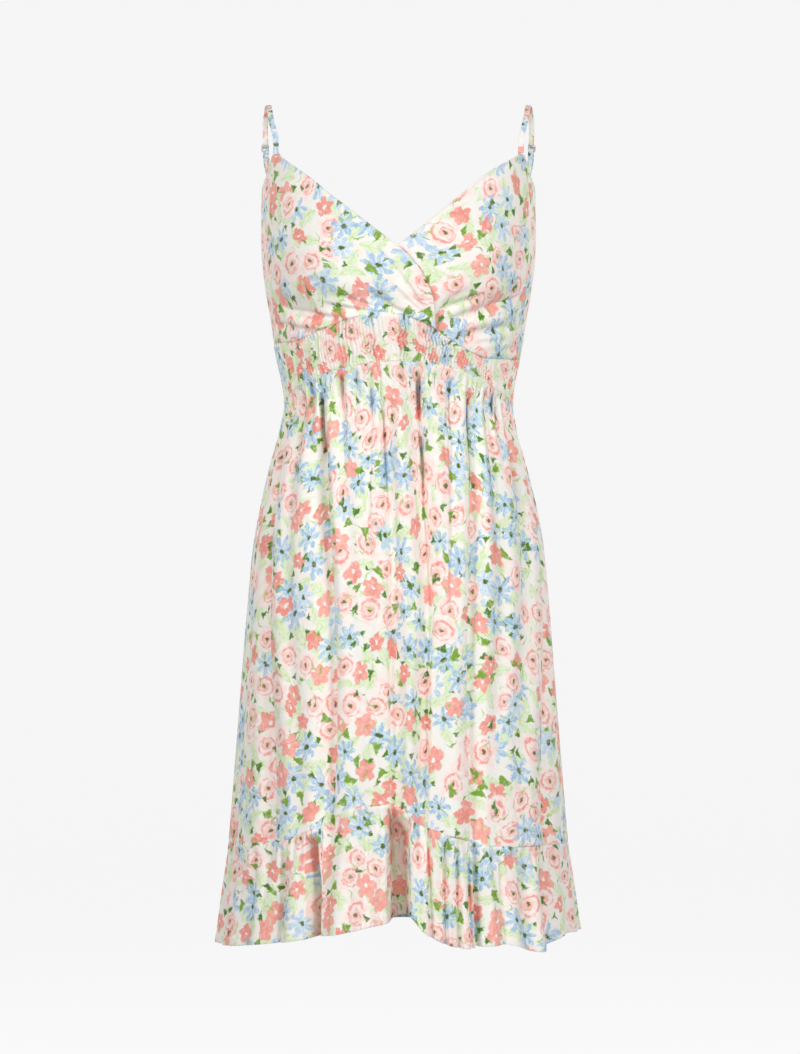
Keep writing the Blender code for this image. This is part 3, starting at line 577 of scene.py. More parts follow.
class Wires:
    """Adds nodes to a tree. Each call returns the socket that holds its answer."""

    def __init__(self, tree):
        self.tree = tree

    def node(self, kind):
        return self.tree.nodes.new(kind)

    def feed(self, socket, value):
        if isinstance(value, bpy.types.NodeSocket):
            self.tree.links.new(value, socket)
        else:
            socket.default_value = value

    def maths(self, operation, *values):
        node = self.node("ShaderNodeMath")
        node.operation = operation
        for socket, value in zip(node.inputs, values):
            self.feed(socket, value)
        return node.outputs[0]

    def plus(self, first, second):
        return self.maths("ADD", first, second)

    def minus(self, first, second):
        return self.maths("SUBTRACT", first, second)

    def times(self, first, second):
        return self.maths("MULTIPLY", first, second)

    def line(self, value, slope, start):
        """A number that rises from start with this slope."""
        return self.maths("MULTIPLY_ADD", value, slope, start)

    def ramp(self, value, slope, start):
        """The same, kept from 0 to 1."""
        return self.clamped(self.line(value, slope, start))

    def blend(self, share, first, second):
        """A number that goes from the first to the second with the share."""
        return self.plus(self.times(first, self.minus(1.0, share)), self.times(second, share))

    def vector(self, operation, first, second):
        node = self.node("ShaderNodeVectorMath")
        node.operation = operation
        self.feed(node.inputs[0], first)
        self.feed(node.inputs["Scale"] if operation == "SCALE" else node.inputs[1], second)
        return node.outputs[0]

    def parts(self, vector):
        node = self.node("ShaderNodeSeparateXYZ")
        self.feed(node.inputs[0], vector)
        return node.outputs

    def join(self, x, y, z=0.0):
        node = self.node("ShaderNodeCombineXYZ")
        for socket, value in zip(node.inputs, (x, y, z)):
            self.feed(socket, value)
        return node.outputs[0]

    def turn(self, vector, angle):
        node = self.node("ShaderNodeVectorRotate")
        node.rotation_type = "Z_AXIS"
        self.feed(node.inputs["Vector"], vector)
        self.feed(node.inputs["Angle"], angle)
        return node.outputs[0]

    def mix(self, share, first, second):
        node = self.node("ShaderNodeMix")
        node.data_type = "RGBA"
        self.feed(node.inputs["Factor"], share)
        self.feed(node.inputs[6], first)
        self.feed(node.inputs[7], second)
        return node.outputs[2]

    def noise(self, vector, size, detail=1.0):
        """A soft noise with features about size across: its value and its colour."""
        node = self.node("ShaderNodeTexNoise")
        self.feed(node.inputs["Vector"], vector)
        self.feed(node.inputs["Scale"], 1.0 / size)
        self.feed(node.inputs["Detail"], detail)
        return node.outputs[0], node.outputs[1]

    def group(self, group, *values):
        """The outputs of a node group with these inputs."""
        node = self.node("ShaderNodeGroup")
        node.node_tree = group
        for socket, value in zip(node.inputs, values):
            self.feed(socket, value)
        return node.outputs

    def clamped(self, value):
        node = self.node("ShaderNodeClamp")
        self.feed(node.inputs[0], value)
        return node.outputs[0]

    def cover(self, inside, softness=EDGE_SOFTNESS):
        """1 where inside, a distance in millimetres, is above 0 and 0 where it is below."""
        return self.ramp(inside, 1.0 / softness, 0.5)

    def step(self, value, limit):
        return self.maths("GREATER_THAN", value, limit)

    def ellipse(self, x, y, half_width, half_height):
        """How far inside an ellipse a place is, in millimetres."""
        across = self.maths("DIVIDE", x, half_width)
        up = self.maths("DIVIDE", y, half_height)
        radius = self.maths("SQRT", self.plus(self.maths("POWER", across, 2.0), self.maths("POWER", up, 2.0)))
        return self.times(self.minus(1.0, radius), min(half_width, half_height))

    def reshuffle(self, dice, first, second):
        """Another number from 0 to 1 from a motif's dice."""
        x, y, _ = self.parts(dice)
        total = self.plus(self.times(x, first), self.times(y, second))
        return self.maths("FRACT", total)


def new_material(name):
    """A material, the means to add nodes to it, and its shader."""
    material = bpy.data.materials.new(name)
    material.use_nodes = True
    return material, Wires(material.node_tree), material.node_tree.nodes["Principled BSDF"]


def add_bump(wires, shader, height, distance, strength=1.0):
    bump = wires.node("ShaderNodeBump")
    wires.feed(bump.inputs["Height"], height)
    bump.inputs["Strength"].default_value = strength
    bump.inputs["Distance"].default_value = distance
    wires.feed(shader.inputs["Normal"], bump.outputs[0])


def motif_group(name, draw):
    """A node group that draws one motif about its own centre, from a place and a dice."""
    group = bpy.data.node_groups.new(name, "ShaderNodeTree")
    group.interface.new_socket("Place", in_out="INPUT", socket_type="NodeSocketVector")
    group.interface.new_socket("Dice", in_out="INPUT", socket_type="NodeSocketVector")
    group.interface.new_socket("Colour", in_out="OUTPUT", socket_type="NodeSocketColor")
    group.interface.new_socket("Cover", in_out="OUTPUT", socket_type="NodeSocketFloat")
    wires = Wires(group)
    given = wires.node("NodeGroupInput")
    answer = wires.node("NodeGroupOutput")
    colour, cover = draw(wires, given.outputs[0], given.outputs[1])
    wires.feed(answer.inputs[0], colour)
    wires.feed(answer.inputs[1], cover)
    return group


def polar(wires, place):
    """A place's distance from the motif's centre and its direction in radians."""
    x, y, _ = wires.parts(place)
    radius = wires.maths("SQRT", wires.plus(wires.maths("POWER", x, 2.0), wires.maths("POWER", y, 2.0)))
    return radius, wires.maths("ARCTAN2", y, x)


def petals(wires, direction, count, low):
    """The outline of a flower with rounded petals: 1 at their tips and low between them."""
    wave = wires.maths("COSINE", wires.times(direction, float(count)))
    lobe = wires.maths("SQRT", wires.line(wave, 0.49, 0.51))
    return wires.line(lobe, 1.0 - low, low)


def draw_daisy(wires, place, dice):
    radius, direction = polar(wires, place)
    x, y, _ = wires.parts(place)
    mood = wires.reshuffle(dice, 5.3, 2.9)
    outline = petals(wires, direction, 7, 0.3)
    size = wires.line(mood, 3.4, 13.2)
    inside = wires.minus(wires.times(outline, size), radius)
    fan = wires.join(wires.times(direction, 5.0), wires.times(radius, 0.16))
    streaks, _ = wires.noise(wires.vector("ADD", fan, dice), 1.0)
    shade = wires.mix(wires.step(mood, 0.62), tint(BLUE), tint(PERIWINKLE))
    colour = wires.mix(wires.ramp(streaks, 5.0, -2.25), shade, tint(BLUE_LIGHT))
    gap = wires.line(outline, -4.0, 3.1)
    colour = wires.mix(wires.clamped(wires.times(gap, 0.55)), colour, tint(BLUE_LIGHT))
    faint = wires.ramp(wires.reshuffle(dice, 2.7, 9.3), 1.6, -1.0)
    colour = wires.mix(faint, colour, tint(BLUE_LIGHT))
    centre = wires.cover(wires.ellipse(x, y, 2.4, 3.1))
    colour = wires.mix(centre, colour, tint(CENTRE_GREEN))
    return colour, wires.cover(inside)


def draw_coral(wires, place, dice):
    radius, direction = polar(wires, place)
    x, y, _ = wires.parts(place)
    mood = wires.reshuffle(dice, 3.7, 6.1)
    outline = petals(wires, direction, 5, 0.6)
    size = wires.line(mood, 3.6, 9.8)
    inside = wires.minus(wires.times(outline, size), radius)
    blotch, _ = wires.noise(place, 9.0)
    light = wires.clamped(wires.plus(mood, wires.line(blotch, 2.4, -1.4)))
    colour = wires.mix(light, tint(CORAL), tint(CORAL_LIGHT))
    eye = wires.cover(wires.ellipse(x, y, 1.5, 2.3))
    eye = wires.times(eye, wires.step(wires.reshuffle(dice, 9.1, 4.7), 0.35))
    return wires.mix(eye, colour, tint(WHITE)), wires.cover(inside)


def rose_line(wires, radius, direction, size, start, thickness, gap_at, gap):
    """An open ring, like a stroke of a brush, round a rose's middle."""
    off_centre = wires.maths("COSINE", wires.plus(direction, gap_at + 1.1))
    track = wires.times(wires.line(off_centre, 0.07, start), size)
    beside = wires.maths("ABSOLUTE", wires.minus(radius, track))
    swell = wires.maths("COSINE", wires.plus(direction, gap_at))
    width = wires.line(swell, 0.45 * thickness, thickness - gap)
    return wires.cover(wires.minus(width, beside))


def draw_rose(wires, place, dice):
    radius, direction = polar(wires, place)
    x, y, _ = wires.parts(place)
    mood = wires.reshuffle(dice, 7.9, 3.3)
    outline = petals(wires, direction, 4, 0.86)
    size = wires.line(mood, 4.0, 14.8)
    inside = wires.minus(wires.times(outline, size), radius)
    blotch, _ = wires.noise(place, 8.0)
    colour = wires.mix(wires.ramp(blotch, 2.0, -0.4), tint(WHITE), tint(BLUSH))
    outer = rose_line(wires, radius, direction, size, 0.56, 1.1, 0.4, 0.1)
    inner = rose_line(wires, radius, direction, size, 0.33, 0.85, 3.1, 0.3)
    line = wires.maths("MAXIMUM", outer, inner)
    strength = wires.ramp(blotch, 2.6, -0.5)
    colour = wires.mix(wires.times(line, strength), colour, tint(ROSE_LINE))
    glow = wires.cover(wires.ellipse(x, y, 4.4, 4.9), 3.4)
    colour = wires.mix(wires.times(glow, 0.8), colour, tint(ROSE_SHADE))
    centre = wires.cover(wires.ellipse(x, y, 1.8, 2.5))
    colour = wires.mix(centre, colour, tint(CENTRE_BROWN))
    return colour, wires.cover(inside, 2.2)


def draw_leaf(wires, place, dice):
    x, y, _ = wires.parts(place)
    mood = wires.reshuffle(dice, 4.3, 8.7)
    bow = wires.times(wires.maths("POWER", x, 2.0), 0.018)
    y = wires.minus(y, bow)
    length = wires.line(mood, 5.0, 12.0)
    share = wires.maths("DIVIDE", x, length)
    width = wires.line(wires.maths("POWER", share, 2.0), -6.2, 6.2)
    beside = wires.maths("ABSOLUTE", y)
    inside = wires.minus(width, beside)
    vein = wires.cover(wires.minus(0.6, beside))
    slant = wires.plus(wires.times(x, 0.85), wires.times(beside, -1.15))
    ribs = wires.ramp(wires.maths("SINE", slant), 1.8, -0.95)
    patchy, _ = wires.noise(wires.vector("ADD", place, dice), 7.0)
    stroke = wires.maths("MAXIMUM", vein, wires.times(ribs, 0.85))
    stroke = wires.times(stroke, wires.ramp(patchy, 3.0, -0.8))
    colour = wires.mix(stroke, tint(LEAF), tint(LEAF_STROKE))
    return colour, wires.cover(inside, 1.4)


def draw_accent(wires, place, dice):
    x, y, _ = wires.parts(place)
    mood = wires.reshuffle(dice, 6.7, 5.9)
    length = wires.line(mood, 4.0, 3.4)
    width = wires.times(wires.minus(length, x), 0.4)
    inside = wires.minus(width, wires.maths("ABSOLUTE", y))
    inside = wires.maths("MINIMUM", inside, wires.plus(x, length))
    colour = wires.mix(wires.step(mood, 0.6), tint(DARK_GREEN), tint(OLIVE))
    cover = wires.times(wires.cover(inside), wires.step(wires.reshuffle(dice, 2.3, 7.7), 0.42))
    return colour, cover


def draw_stem(wires, place, dice):
    x, y, _ = wires.parts(place)
    bow = wires.times(wires.maths("POWER", x, 2.0), 0.07)
    beside = wires.maths("ABSOLUTE", wires.minus(y, bow))
    half = wires.line(wires.maths("ABSOLUTE", x), -0.13, 0.95)
    inside = wires.minus(half, beside)
    mood = wires.reshuffle(dice, 8.3, 1.9)
    colour = wires.mix(mood, tint(OLIVE), tint(LEAF_STROKE))
    cover = wires.times(wires.cover(inside), wires.step(wires.reshuffle(dice, 5.9, 3.1), 0.4))
    return colour, cover


def flower_group():
    """A motif that is a daisy, a coral flower or a rose, as its dice falls."""
    groups = [
        motif_group("daisy", draw_daisy),
        motif_group("coral_flower", draw_coral),
        motif_group("rose", draw_rose),
    ]

    def draw(wires, place, dice):
        first, _, _ = wires.parts(dice)
        (colour, cover), *others = (wires.group(group, place, dice) for group in groups)
        for (other, other_cover), limit in zip(others, FLOWER_LIMITS):
            chosen = wires.step(first, limit)
            colour = wires.mix(chosen, colour, other)
            cover = wires.blend(chosen, cover, other_cover)
        return colour, cover

    return motif_group("flower", draw)


def scattered(wires, group, place, pitch, shift, feature):
    """One motif of a layer, the nearest (F1) or the second nearest (F2) to each place."""
    spots = wires.node("ShaderNodeTexVoronoi")
    spots.voronoi_dimensions = "2D"
    spots.feature = feature
    moved = wires.vector("ADD", place, shift)
    wires.feed(spots.inputs["Vector"], moved)
    wires.feed(spots.inputs["Scale"], 1.0 / pitch)
    wires.feed(spots.inputs["Randomness"], FLOWER_SCATTER)
    dice = spots.outputs["Color"]
    local = wires.vector("SUBTRACT", moved, spots.outputs["Position"])
    local = wires.turn(local, wires.times(wires.reshuffle(dice, 3.1, 5.7), 6.283))
    colour, cover = wires.group(group, local, dice)
    return colour, cover, wires.parts(dice)[2]


def lay_over(wires, ground, group, place, pitch, shift):
    """A layer of motifs over the ground. Where two overlap, the one with the higher dice is on top."""
    colour, cover, rank = scattered(wires, group, place, pitch, shift, "F1")
    other, other_cover, other_rank = scattered(wires, group, place, pitch, shift, "F2")
    swap = wires.step(other_rank, rank)
    ground = wires.mix(wires.blend(swap, other_cover, cover), ground, wires.mix(swap, other, colour))
    return wires.mix(wires.blend(swap, cover, other_cover), ground, wires.mix(swap, colour, other))


def lay_few(wires, ground, group, place, pitch, shift):
    """A layer of small motifs that don't overlap."""
    colour, cover, _ = scattered(wires, group, place, pitch, shift, "F1")
    return wires.mix(cover, ground, colour)


def print_group():
    """The whole print: its colour at a place in the flat cloth, in millimetres."""
    group = bpy.data.node_groups.new("flower_print", "ShaderNodeTree")
    group.interface.new_socket("Place", in_out="INPUT", socket_type="NodeSocketVector")
    group.interface.new_socket("Colour", in_out="OUTPUT", socket_type="NodeSocketColor")
    wires = Wires(group)
    given = wires.node("NodeGroupInput").outputs[0]
    place = turned = wires.turn(given, PRINT_TURN)
    for noisy, size, reach in ((turned, 70.0, 26.0), (turned, 5.0, 5.2), (given, 1.5, 2.3)):
        sway = wires.vector("SUBTRACT", wires.noise(noisy, size)[1], (0.5, 0.5, 0.5))
        place = wires.vector("ADD", place, wires.vector("SCALE", sway, reach))
    place = wires.vector("MULTIPLY", place, (1.0, 1.0, 0.0))
    peach, _ = wires.noise(wires.vector("ADD", place, (50.0, 9.0, 0.0)), 22.0)
    mint, _ = wires.noise(wires.vector("ADD", place, (7.0, 80.0, 0.0)), 22.0)
    colour = wires.mix(wires.ramp(peach, 4.0, -2.2), tint(GROUND), tint(GROUND_PEACH))
    colour = wires.mix(wires.ramp(mint, 4.0, -2.45), colour, tint(GROUND_MINT))
    leaf = motif_group("leaf", draw_leaf)
    colour = lay_over(wires, colour, leaf, place, LEAF_PITCH, (11.0, 5.0, 0.0))
    stem = motif_group("stem", draw_stem)
    accent = motif_group("accent", draw_accent)
    colour = lay_few(wires, colour, accent, place, ACCENT_PITCH, (83.0, 19.0, 0.0))
    colour = lay_over(wires, colour, flower_group(), place, FLOWER_PITCH, (0.0, 0.0, 0.0))
    colour = lay_few(wires, colour, stem, place, STEM_PITCH, (31.0, 47.0, 0.0))
    colour = lay_few(wires, colour, accent, place, 2.0 * ACCENT_PITCH, (3.0, 57.0, 0.0))
    wash, _ = wires.noise(place, 4.0, 2.0)
    colour = wires.mix(wires.ramp(wash, 1.8, -0.92), colour, tint(WHITE))
    answer = wires.node("NodeGroupOutput")
    wires.feed(answer.inputs[0], colour)
    return group


def cloth_material(name, group, fade):
    """Printed viscose: the print, a fine weave and a slight sheen. fade pales it, as on the wrong side."""
    material, wires, shader = new_material(name)
    flat = wires.node("ShaderNodeUVMap")
    flat.uv_map = "cloth"
    place = wires.vector("SCALE", flat.outputs[0], 1.0 / METRES)
    colour = wires.mix(fade, wires.group(group, place)[0], tint(WHITE))
    x, y, _ = wires.parts(place)
    warp = wires.maths("SINE", wires.times(x, 11.0))
    weft = wires.maths("SINE", wires.times(y, 11.0))
    slub, _ = wires.noise(wires.vector("MULTIPLY", place, (0.15, 1.0, 1.0)), 0.8, 2.0)
    weave = wires.plus(wires.times(warp, weft), slub)
    colour = wires.mix(wires.ramp(slub, 0.06, -0.02), colour, tint(YARN_SHADE))
    crinkle, _ = wires.noise(wires.vector("MULTIPLY", place, (1.0, 0.4, 1.0)), 3.4, 3.0)
    height = wires.line(crinkle, 7.0, wires.times(weave, 0.1))
    add_bump(wires, shader, height, 0.00014, 0.55)
    wires.feed(shader.inputs["Base Color"], colour)
    wires.feed(shader.inputs["Roughness"], wires.line(slub, 0.12, 0.76))
    shader.inputs["Sheen Weight"].default_value = 0.12
    shader.inputs["Sheen Roughness"].default_value = 0.5
    shader.inputs["Specular IOR Level"].default_value = 0.16
    return material


def smooth(xs, ys, at):
    """A smooth curve through the points, read at each place in at."""
    xs, ys, at = (np.asarray(values, float) for values in (xs, ys, at))
    slope = np.diff(ys) / np.diff(xs)
    tangent = np.concatenate([slope[:1], (slope[1:] + slope[:-1]) / 2, slope[-1:]])
    turns = slope[1:] * slope[:-1] <= 0
    tangent[1:-1][turns] = 0.0
    at = np.clip(at, xs[0], xs[-1])
    place = np.clip(np.searchsorted(xs, at) - 1, 0, len(xs) - 2)
    step = xs[place + 1] - xs[place]
    t = (at - xs[place]) / step
    return (
        ys[place] * (1 + 2 * t) * (1 - t) ** 2
        + tangent[place] * step * t * (1 - t) ** 2
        + ys[place + 1] * t**2 * (3 - 2 * t)
        - tangent[place + 1] * step * t**2 * (1 - t)
    )


def round_the_dress(table, angle):
    """The height of an edge that closes on itself, at each angle."""
    rows = np.array(table)
    turns = np.concatenate([rows[:, 0] - 360.0, rows[:, 0], rows[:, 0] + 360.0])
    return smooth(turns, np.tile(rows[:, 1], 3), angle)


band_top = partial(round_the_dress, BAND_TOP)
band_bottom = partial(round_the_dress, BAND_BOTTOM)
back_top = partial(round_the_dress, BACK_TOP)
ruffle_seam = partial(round_the_dress, RUFFLE_SEAM)
hem = partial(round_the_dress, HEM)


def ease(low, high, at):
    """0 below low and 1 above high, with a smooth rise between."""
    t = np.clip((np.asarray(at, float) - low) / (high - low), 0.0, 1.0)
    return t * t * (3 - 2 * t)


def apart(angle, other):
    """How far one angle lies past another, the short way round."""
    return (np.asarray(angle, float) - other + 180.0) % 360.0 - 180.0


def unit(vector):
    return vector / np.linalg.norm(vector, axis=-1, keepdims=True)


def distances(points):
    """How far along a line each of its points lies."""
    return np.concatenate([[0.0], np.cumsum(np.linalg.norm(np.diff(points, axis=0), axis=1))])


def read_line(places, points, at):
    """Points of a line at distances along it."""
    return np.stack([np.interp(at, places, values) for values in points.T], axis=-1)


def smooth_line(knots, count):
    """Evenly spaced points of a smooth curve through knots."""
    knots = np.array(knots)
    places = distances(knots)
    at = np.linspace(0.0, places[-1], count)
    return np.stack([smooth(places, values, at) for values in knots.T], axis=-1)


def form_size(height):
    rows = np.array(FORM)
    return [smooth(rows[:, 0], rows[:, column], height) for column in range(1, 5)]


def form_point(angle, height):
    """The form's surface at each angle and height."""
    half_width, front, back, squareness = form_size(height)
    turn = np.radians(angle)
    across = np.sign(np.sin(turn)) * np.abs(np.sin(turn)) ** (2 / squareness)
    along = np.sign(np.cos(turn)) * np.abs(np.cos(turn)) ** (2 / squareness)
    depth = np.where(along > 0, front, back)
    return np.stack([half_width * across, -depth * along, height + 0 * across], axis=-1)


def arc_length(angle, height):
    """Millimetres of cloth to one degree, at each place on the form."""
    step = form_point(angle + 0.5, height) - form_point(angle - 0.5, height)
    return np.linalg.norm(step, axis=-1)


def outward(angle, height):
    """The form's own direction outward, level with the floor."""
    along = form_point(angle + PROBE_ANGLE, height) - form_point(angle - PROBE_ANGLE, height)
    return unit(np.stack([along[..., 1], -along[..., 0], 0 * along[..., 0]], axis=-1))


def raise_by(angle, height, lift):
    return form_point(angle, height) + lift[..., None] * outward(angle, height)


def trough(distance, width):
    """A soft trough of depth 1 with a low ridge along each side."""
    q = distance / width
    return -(1.0 - 0.5 * q * q) * np.exp(-0.5 * q * q)


def wander(x, spacing, seed):
    """A smooth, uneven line between -1 and 1 whose bends are about spacing apart."""
    knots = np.random.default_rng(seed).uniform(-1.0, 1.0, WANDER_KNOTS)
    place = np.asarray(x, float) / spacing + WANDER_START
    low = np.floor(place).astype(int) % WANDER_KNOTS
    t = ease(0.0, 1.0, place - np.floor(place))
    return knots[low] * (1 - t) + knots[(low + 1) % WANDER_KNOTS] * t


def gather_waves(x, pitch, seed):
    """Uneven gathers along x: round ridges with narrow valleys between, from -1 to 0."""
    uneven = x + 0.42 * pitch * wander(x, 1.7 * pitch, seed) + 0.3 * pitch * wander(x, 4.1 * pitch, seed + 1)
    ridge = np.sqrt(np.sin(np.pi * uneven / pitch) ** 2 + 0.03)
    strength = 0.62 + 0.38 * wander(x, 2.6 * pitch, seed + 2)
    return (ridge - 1.0) * strength


def gathers(table, across, below, seed):
    """The gathers of a table, at each place across the cloth and below its seam."""
    total = 0.0 * across
    for number, (depth, pitch, grows, full, fades, gone, kept) in enumerate(table):
        reach = ease(grows, full, below) * (1 - (1 - kept) * ease(fades, gone, below))
        total = total + depth * reach * gather_waves(across, pitch, seed + 5 * number)
    return total


def bust_fullness(angle, height):
    across = (np.abs(apart(angle, 0.0)) - BUST_ANGLE) / BUST_SPREAD_ANGLE
    up = (height - BUST_HEIGHT) / BUST_SPREAD_HEIGHT
    return BUST_FULLNESS * np.exp(-across * across - up * up)


def creases(table, angle, height):
    """The creases' depth, each fading out at its two ends."""
    total = np.zeros(np.broadcast(angle, height).shape)
    for from_angle, from_height, to_angle, to_height, width, depth in table:
        scale = arc_length((from_angle + to_angle) / 2, (from_height + to_height) / 2)
        along = np.array([(to_angle - from_angle) * scale, to_height - from_height])
        length = np.linalg.norm(along)
        along = along / length
        x = apart(angle, from_angle) * scale
        z = height - from_height
        reach = (x * along[0] + z * along[1]) / length
        side = -x * along[1] + z * along[0]
        fade = ease(-0.25, 0.15, reach) * (1 - ease(0.65, 1.2, reach))
        total = total + depth * fade * trough(side, width)
    return total


def beside_line(line, angle, height):
    """How far below a line of points each place lies, and how much of the line's length is behind it."""
    line = np.array(line)
    scale = arc_length(*line.mean(axis=0))
    points = smooth_line(line, 4 * len(line)) * (scale, 1.0)
    x = apart(angle, 0.0) if abs(line[:, 0].mean()) < 90.0 else np.asarray(angle)
    here = np.stack(np.broadcast_arrays(x * scale, height), axis=-1)[..., None, :]
    steps = np.diff(points, axis=0)
    lengths = np.linalg.norm(steps, axis=1)
    places = distances(points)
    offset = here - points[:-1]
    along = np.clip((offset * steps).sum(axis=-1) / lengths**2, 0.0, 1.0)
    distance = np.linalg.norm(offset - along[..., None] * steps, axis=-1)
    nearest = distance.argmin(axis=-1)[..., None]
    below = np.sign(steps[:, 1] * offset[..., 0] - steps[:, 0] * offset[..., 1])
    reach = (places[:-1] + along * lengths) / places[-1]
    pick = [np.take_along_axis(values, nearest, axis=-1)[..., 0] for values in (distance, below, reach)]
    return pick[0] * pick[1], pick[2]


def line_creases(table, angle, height):
    """Creases that drop steeply at their line and rise slowly below it."""
    total = np.zeros(np.broadcast(angle, height).shape)
    for width, depth, line in table:
        below, reach = beside_line(line, angle, height)
        fade = ease(0.0, 0.3, reach) * (1 - ease(0.72, 1.0, reach))
        total = total + depth * fade * one_sided(below, width, LINE_SOFTNESS)
    return total


def slots(table, angle, height):
    """Narrow slots, deepest a little below their tops."""
    total = np.zeros(np.broadcast(angle, height).shape)
    for width, depth, line in table:
        beside, reach = beside_line(line, angle, height)
        fade = ease(0.0, 0.14, reach) * (1 - ease(0.45, 1.0, reach))
        total = total - depth * fade * np.exp(-0.5 * (beside / width) ** 2)
    return total


def slot_direction(angle, height):
    """The way out of a slot: straight forward or back, and square to the cloth towards the side seams."""
    front = np.sign(np.cos(np.radians(angle)))
    aside = np.degrees(np.arcsin(np.abs(np.sin(np.radians(angle)))))
    straight = (1 - ease(46.0, 70.0, aside))[..., None]
    ahead = np.stack([0.0 * front, -front, 0.0 * front], axis=-1)
    return unit(straight * ahead + (1 - straight) * outward(angle, height))


def bodice_lift(angle, height):
    lift = bust_fullness(angle, height) + creases(BODICE_CREASES, angle, height)
    return lift + line_creases(BODICE_LINES, angle, height)


def overlapping_lift(angle, height):
    """The right front's lift, which also clears the left front under it."""
    return bodice_lift(angle, height) + OVERLAP_LIFT * ease(OVERLAP_FROM, OVERLAP_TO, apart(angle, 0.0))


def fold_place(at_waist, at_hip, at_ruffle, height):
    """The angle of a fold at each height."""
    levels = [FOLDS_END, FOLDS_SETTLE, HIP, WAIST]
    return smooth(levels, [at_ruffle, at_ruffle, at_hip, at_waist], height)


def thread_angle(at_ruffle, height):
    """The angle, at each height, of the thread that meets the ruffle at a given angle."""
    seams = [(side, side, side, WAIST, 0.0, 0.0) for side in (-90.0, 90.0, 270.0)]
    rows = sorted(seams + SKIRT_FOLDS, key=lambda row: row[2])
    ends = np.array([row[2] for row in rows])
    centres = np.stack([fold_place(*row[:3], height) for row in rows])
    after = np.clip(np.searchsorted(ends, at_ruffle), 1, len(ends) - 1)
    share = (at_ruffle - ends[after - 1]) / (ends[after] - ends[after - 1])
    low = np.take_along_axis(centres, (after - 1)[None], axis=0)[0]
    high = np.take_along_axis(centres, after[None], axis=0)[0]
    return low * (1 - share) + high * share


def skirt_folds(angle, height):
    """The large folds that hang from the waistband to the hem."""
    total = np.zeros(np.broadcast(angle, height).shape)
    scale = arc_length(angle, height)
    for at_waist, at_hip, at_ruffle, starts, width, depth in SKIRT_FOLDS:
        centre = fold_place(at_waist, at_hip, at_ruffle, height)
        grows = 1 - ease(starts - FOLD_FADE, starts + 8.0, height)
        spread = width * (1.0 + FOLD_SPREAD * (1 - ease(FOLDS_SETTLE, HIP, height)))
        total = total + depth * grows * trough(apart(angle, centre) * scale, spread)
    return total


def one_sided(distance, width, steepness=LINE_STEEPNESS):
    """A steep drop of depth 1 at distance 0 that rises again over the width."""
    q = distance / width
    steep = np.exp(-((np.minimum(q, 0.0) / steepness) ** 2))
    slow = np.exp(-((1.15 * np.maximum(q, 0.0)) ** 3))
    return -steep * slow


def skirt_lines(angle, height):
    """The sharp lines where folds double over."""
    total = np.zeros(np.broadcast(angle, height).shape)
    scale = arc_length(angle, height)
    paths = {row[0]: row[:3] for row in SKIRT_FOLDS}
    for number, (fold, starts, ends, drops, width, depth) in enumerate(SKIRT_LINES):
        centre = fold_place(*paths[fold], height)
        sway = LINE_SWAY * wander(height, 60.0, 40 + number)
        grows = (1 - ease(starts - 20.0, starts + 4.0, height)) * ease(ends - 30.0, ends + 60.0, height)
        uneven = 0.8 + 0.2 * wander(height, 90.0, 70 + number)
        beside = drops * (apart(angle, centre) * scale + sway)
        total = total + depth * grows * uneven * one_sided(beside, width)
    return total


def ruffle_reach(angle, height):
    """How far down the ruffle a place lies: 0 at its seam, 1 at its hem."""
    seam = ruffle_seam(angle)
    return np.clip((seam - height) / (seam - hem(angle)), 0.0, 1.1)


def ruffle_waves(angle, height):
    """The ruffle's own waves, none at its seam and full at its hem."""
    down = ruffle_reach(angle, height)
    scale = arc_length(angle, height)
    total = RUFFLE_FLARE * down
    for centre, width, depth in RUFFLE_WAVES:
        total = total + depth * ease(0.0, 0.6, down) * trough(apart(angle, centre) * scale, width)
    for at_seam, at_hem, half_width, edge, depth in RUFFLE_HOLLOWS:
        beside = apart(angle, at_seam * (1 - down) + at_hem * down) * scale
        hollow = np.tanh((beside + half_width) / edge) - np.tanh((beside - half_width) / edge)
        total = total - 0.5 * depth * ease(0.0, 0.22, down) * hollow
    return total


def grid_normals(points):
    """The direction out of a grid of points whose rows run from the top down."""
    down = np.gradient(points, axis=0)
    across = np.gradient(points, axis=1)
    return unit(np.cross(down, across))


def row_lengths(points):
    """Distance along each row of a grid from its first column."""
    steps = np.linalg.norm(np.diff(points, axis=1), axis=-1)
    start = np.zeros((points.shape[0], 1))
    return np.concatenate([start, np.cumsum(steps, axis=1)], axis=1)


def make_mesh(name, points, faces):
    mesh = bpy.data.meshes.new(name)
    mesh.from_pydata((np.asarray(points) * METRES).tolist(), [], faces)
    mesh.shade_smooth()
    thing = bpy.data.objects.new(name, mesh)
    bpy.context.scene.collection.objects.link(thing)
    return thing


def grid_faces(rows, columns, offset, turned):
    """Quads of a grid of points, facing the other way where turned."""
    spot = np.arange(rows * columns).reshape(rows, columns) + offset
    corners = [spot[:-1, :-1], spot[1:, :-1], spot[1:, 1:], spot[:-1, 1:]]
    if turned:
        corners = corners[::-1]
    return np.stack([corner.ravel() for corner in corners], axis=1)


def tube_faces(rows, around, closed=False):
    """Quads of a tube of many-sided sections, closed on itself where told."""
    spot = np.arange(rows * around).reshape(rows, around)
    if closed:
        spot = np.concatenate([spot, spot[:1]])
    after = np.roll(spot, -1, axis=1)
    return np.stack([spot[:-1], after[:-1], after[1:], spot[1:]], axis=-1).reshape(-1, 4)


def rod_faces(rows, around):
    """Faces of a tube of many-sided sections with a flat face at each end."""
    last = around * (rows - 1)
    ends = [list(range(around))[::-1], list(range(last, last + around))]
    return tube_faces(rows, around).tolist() + ends


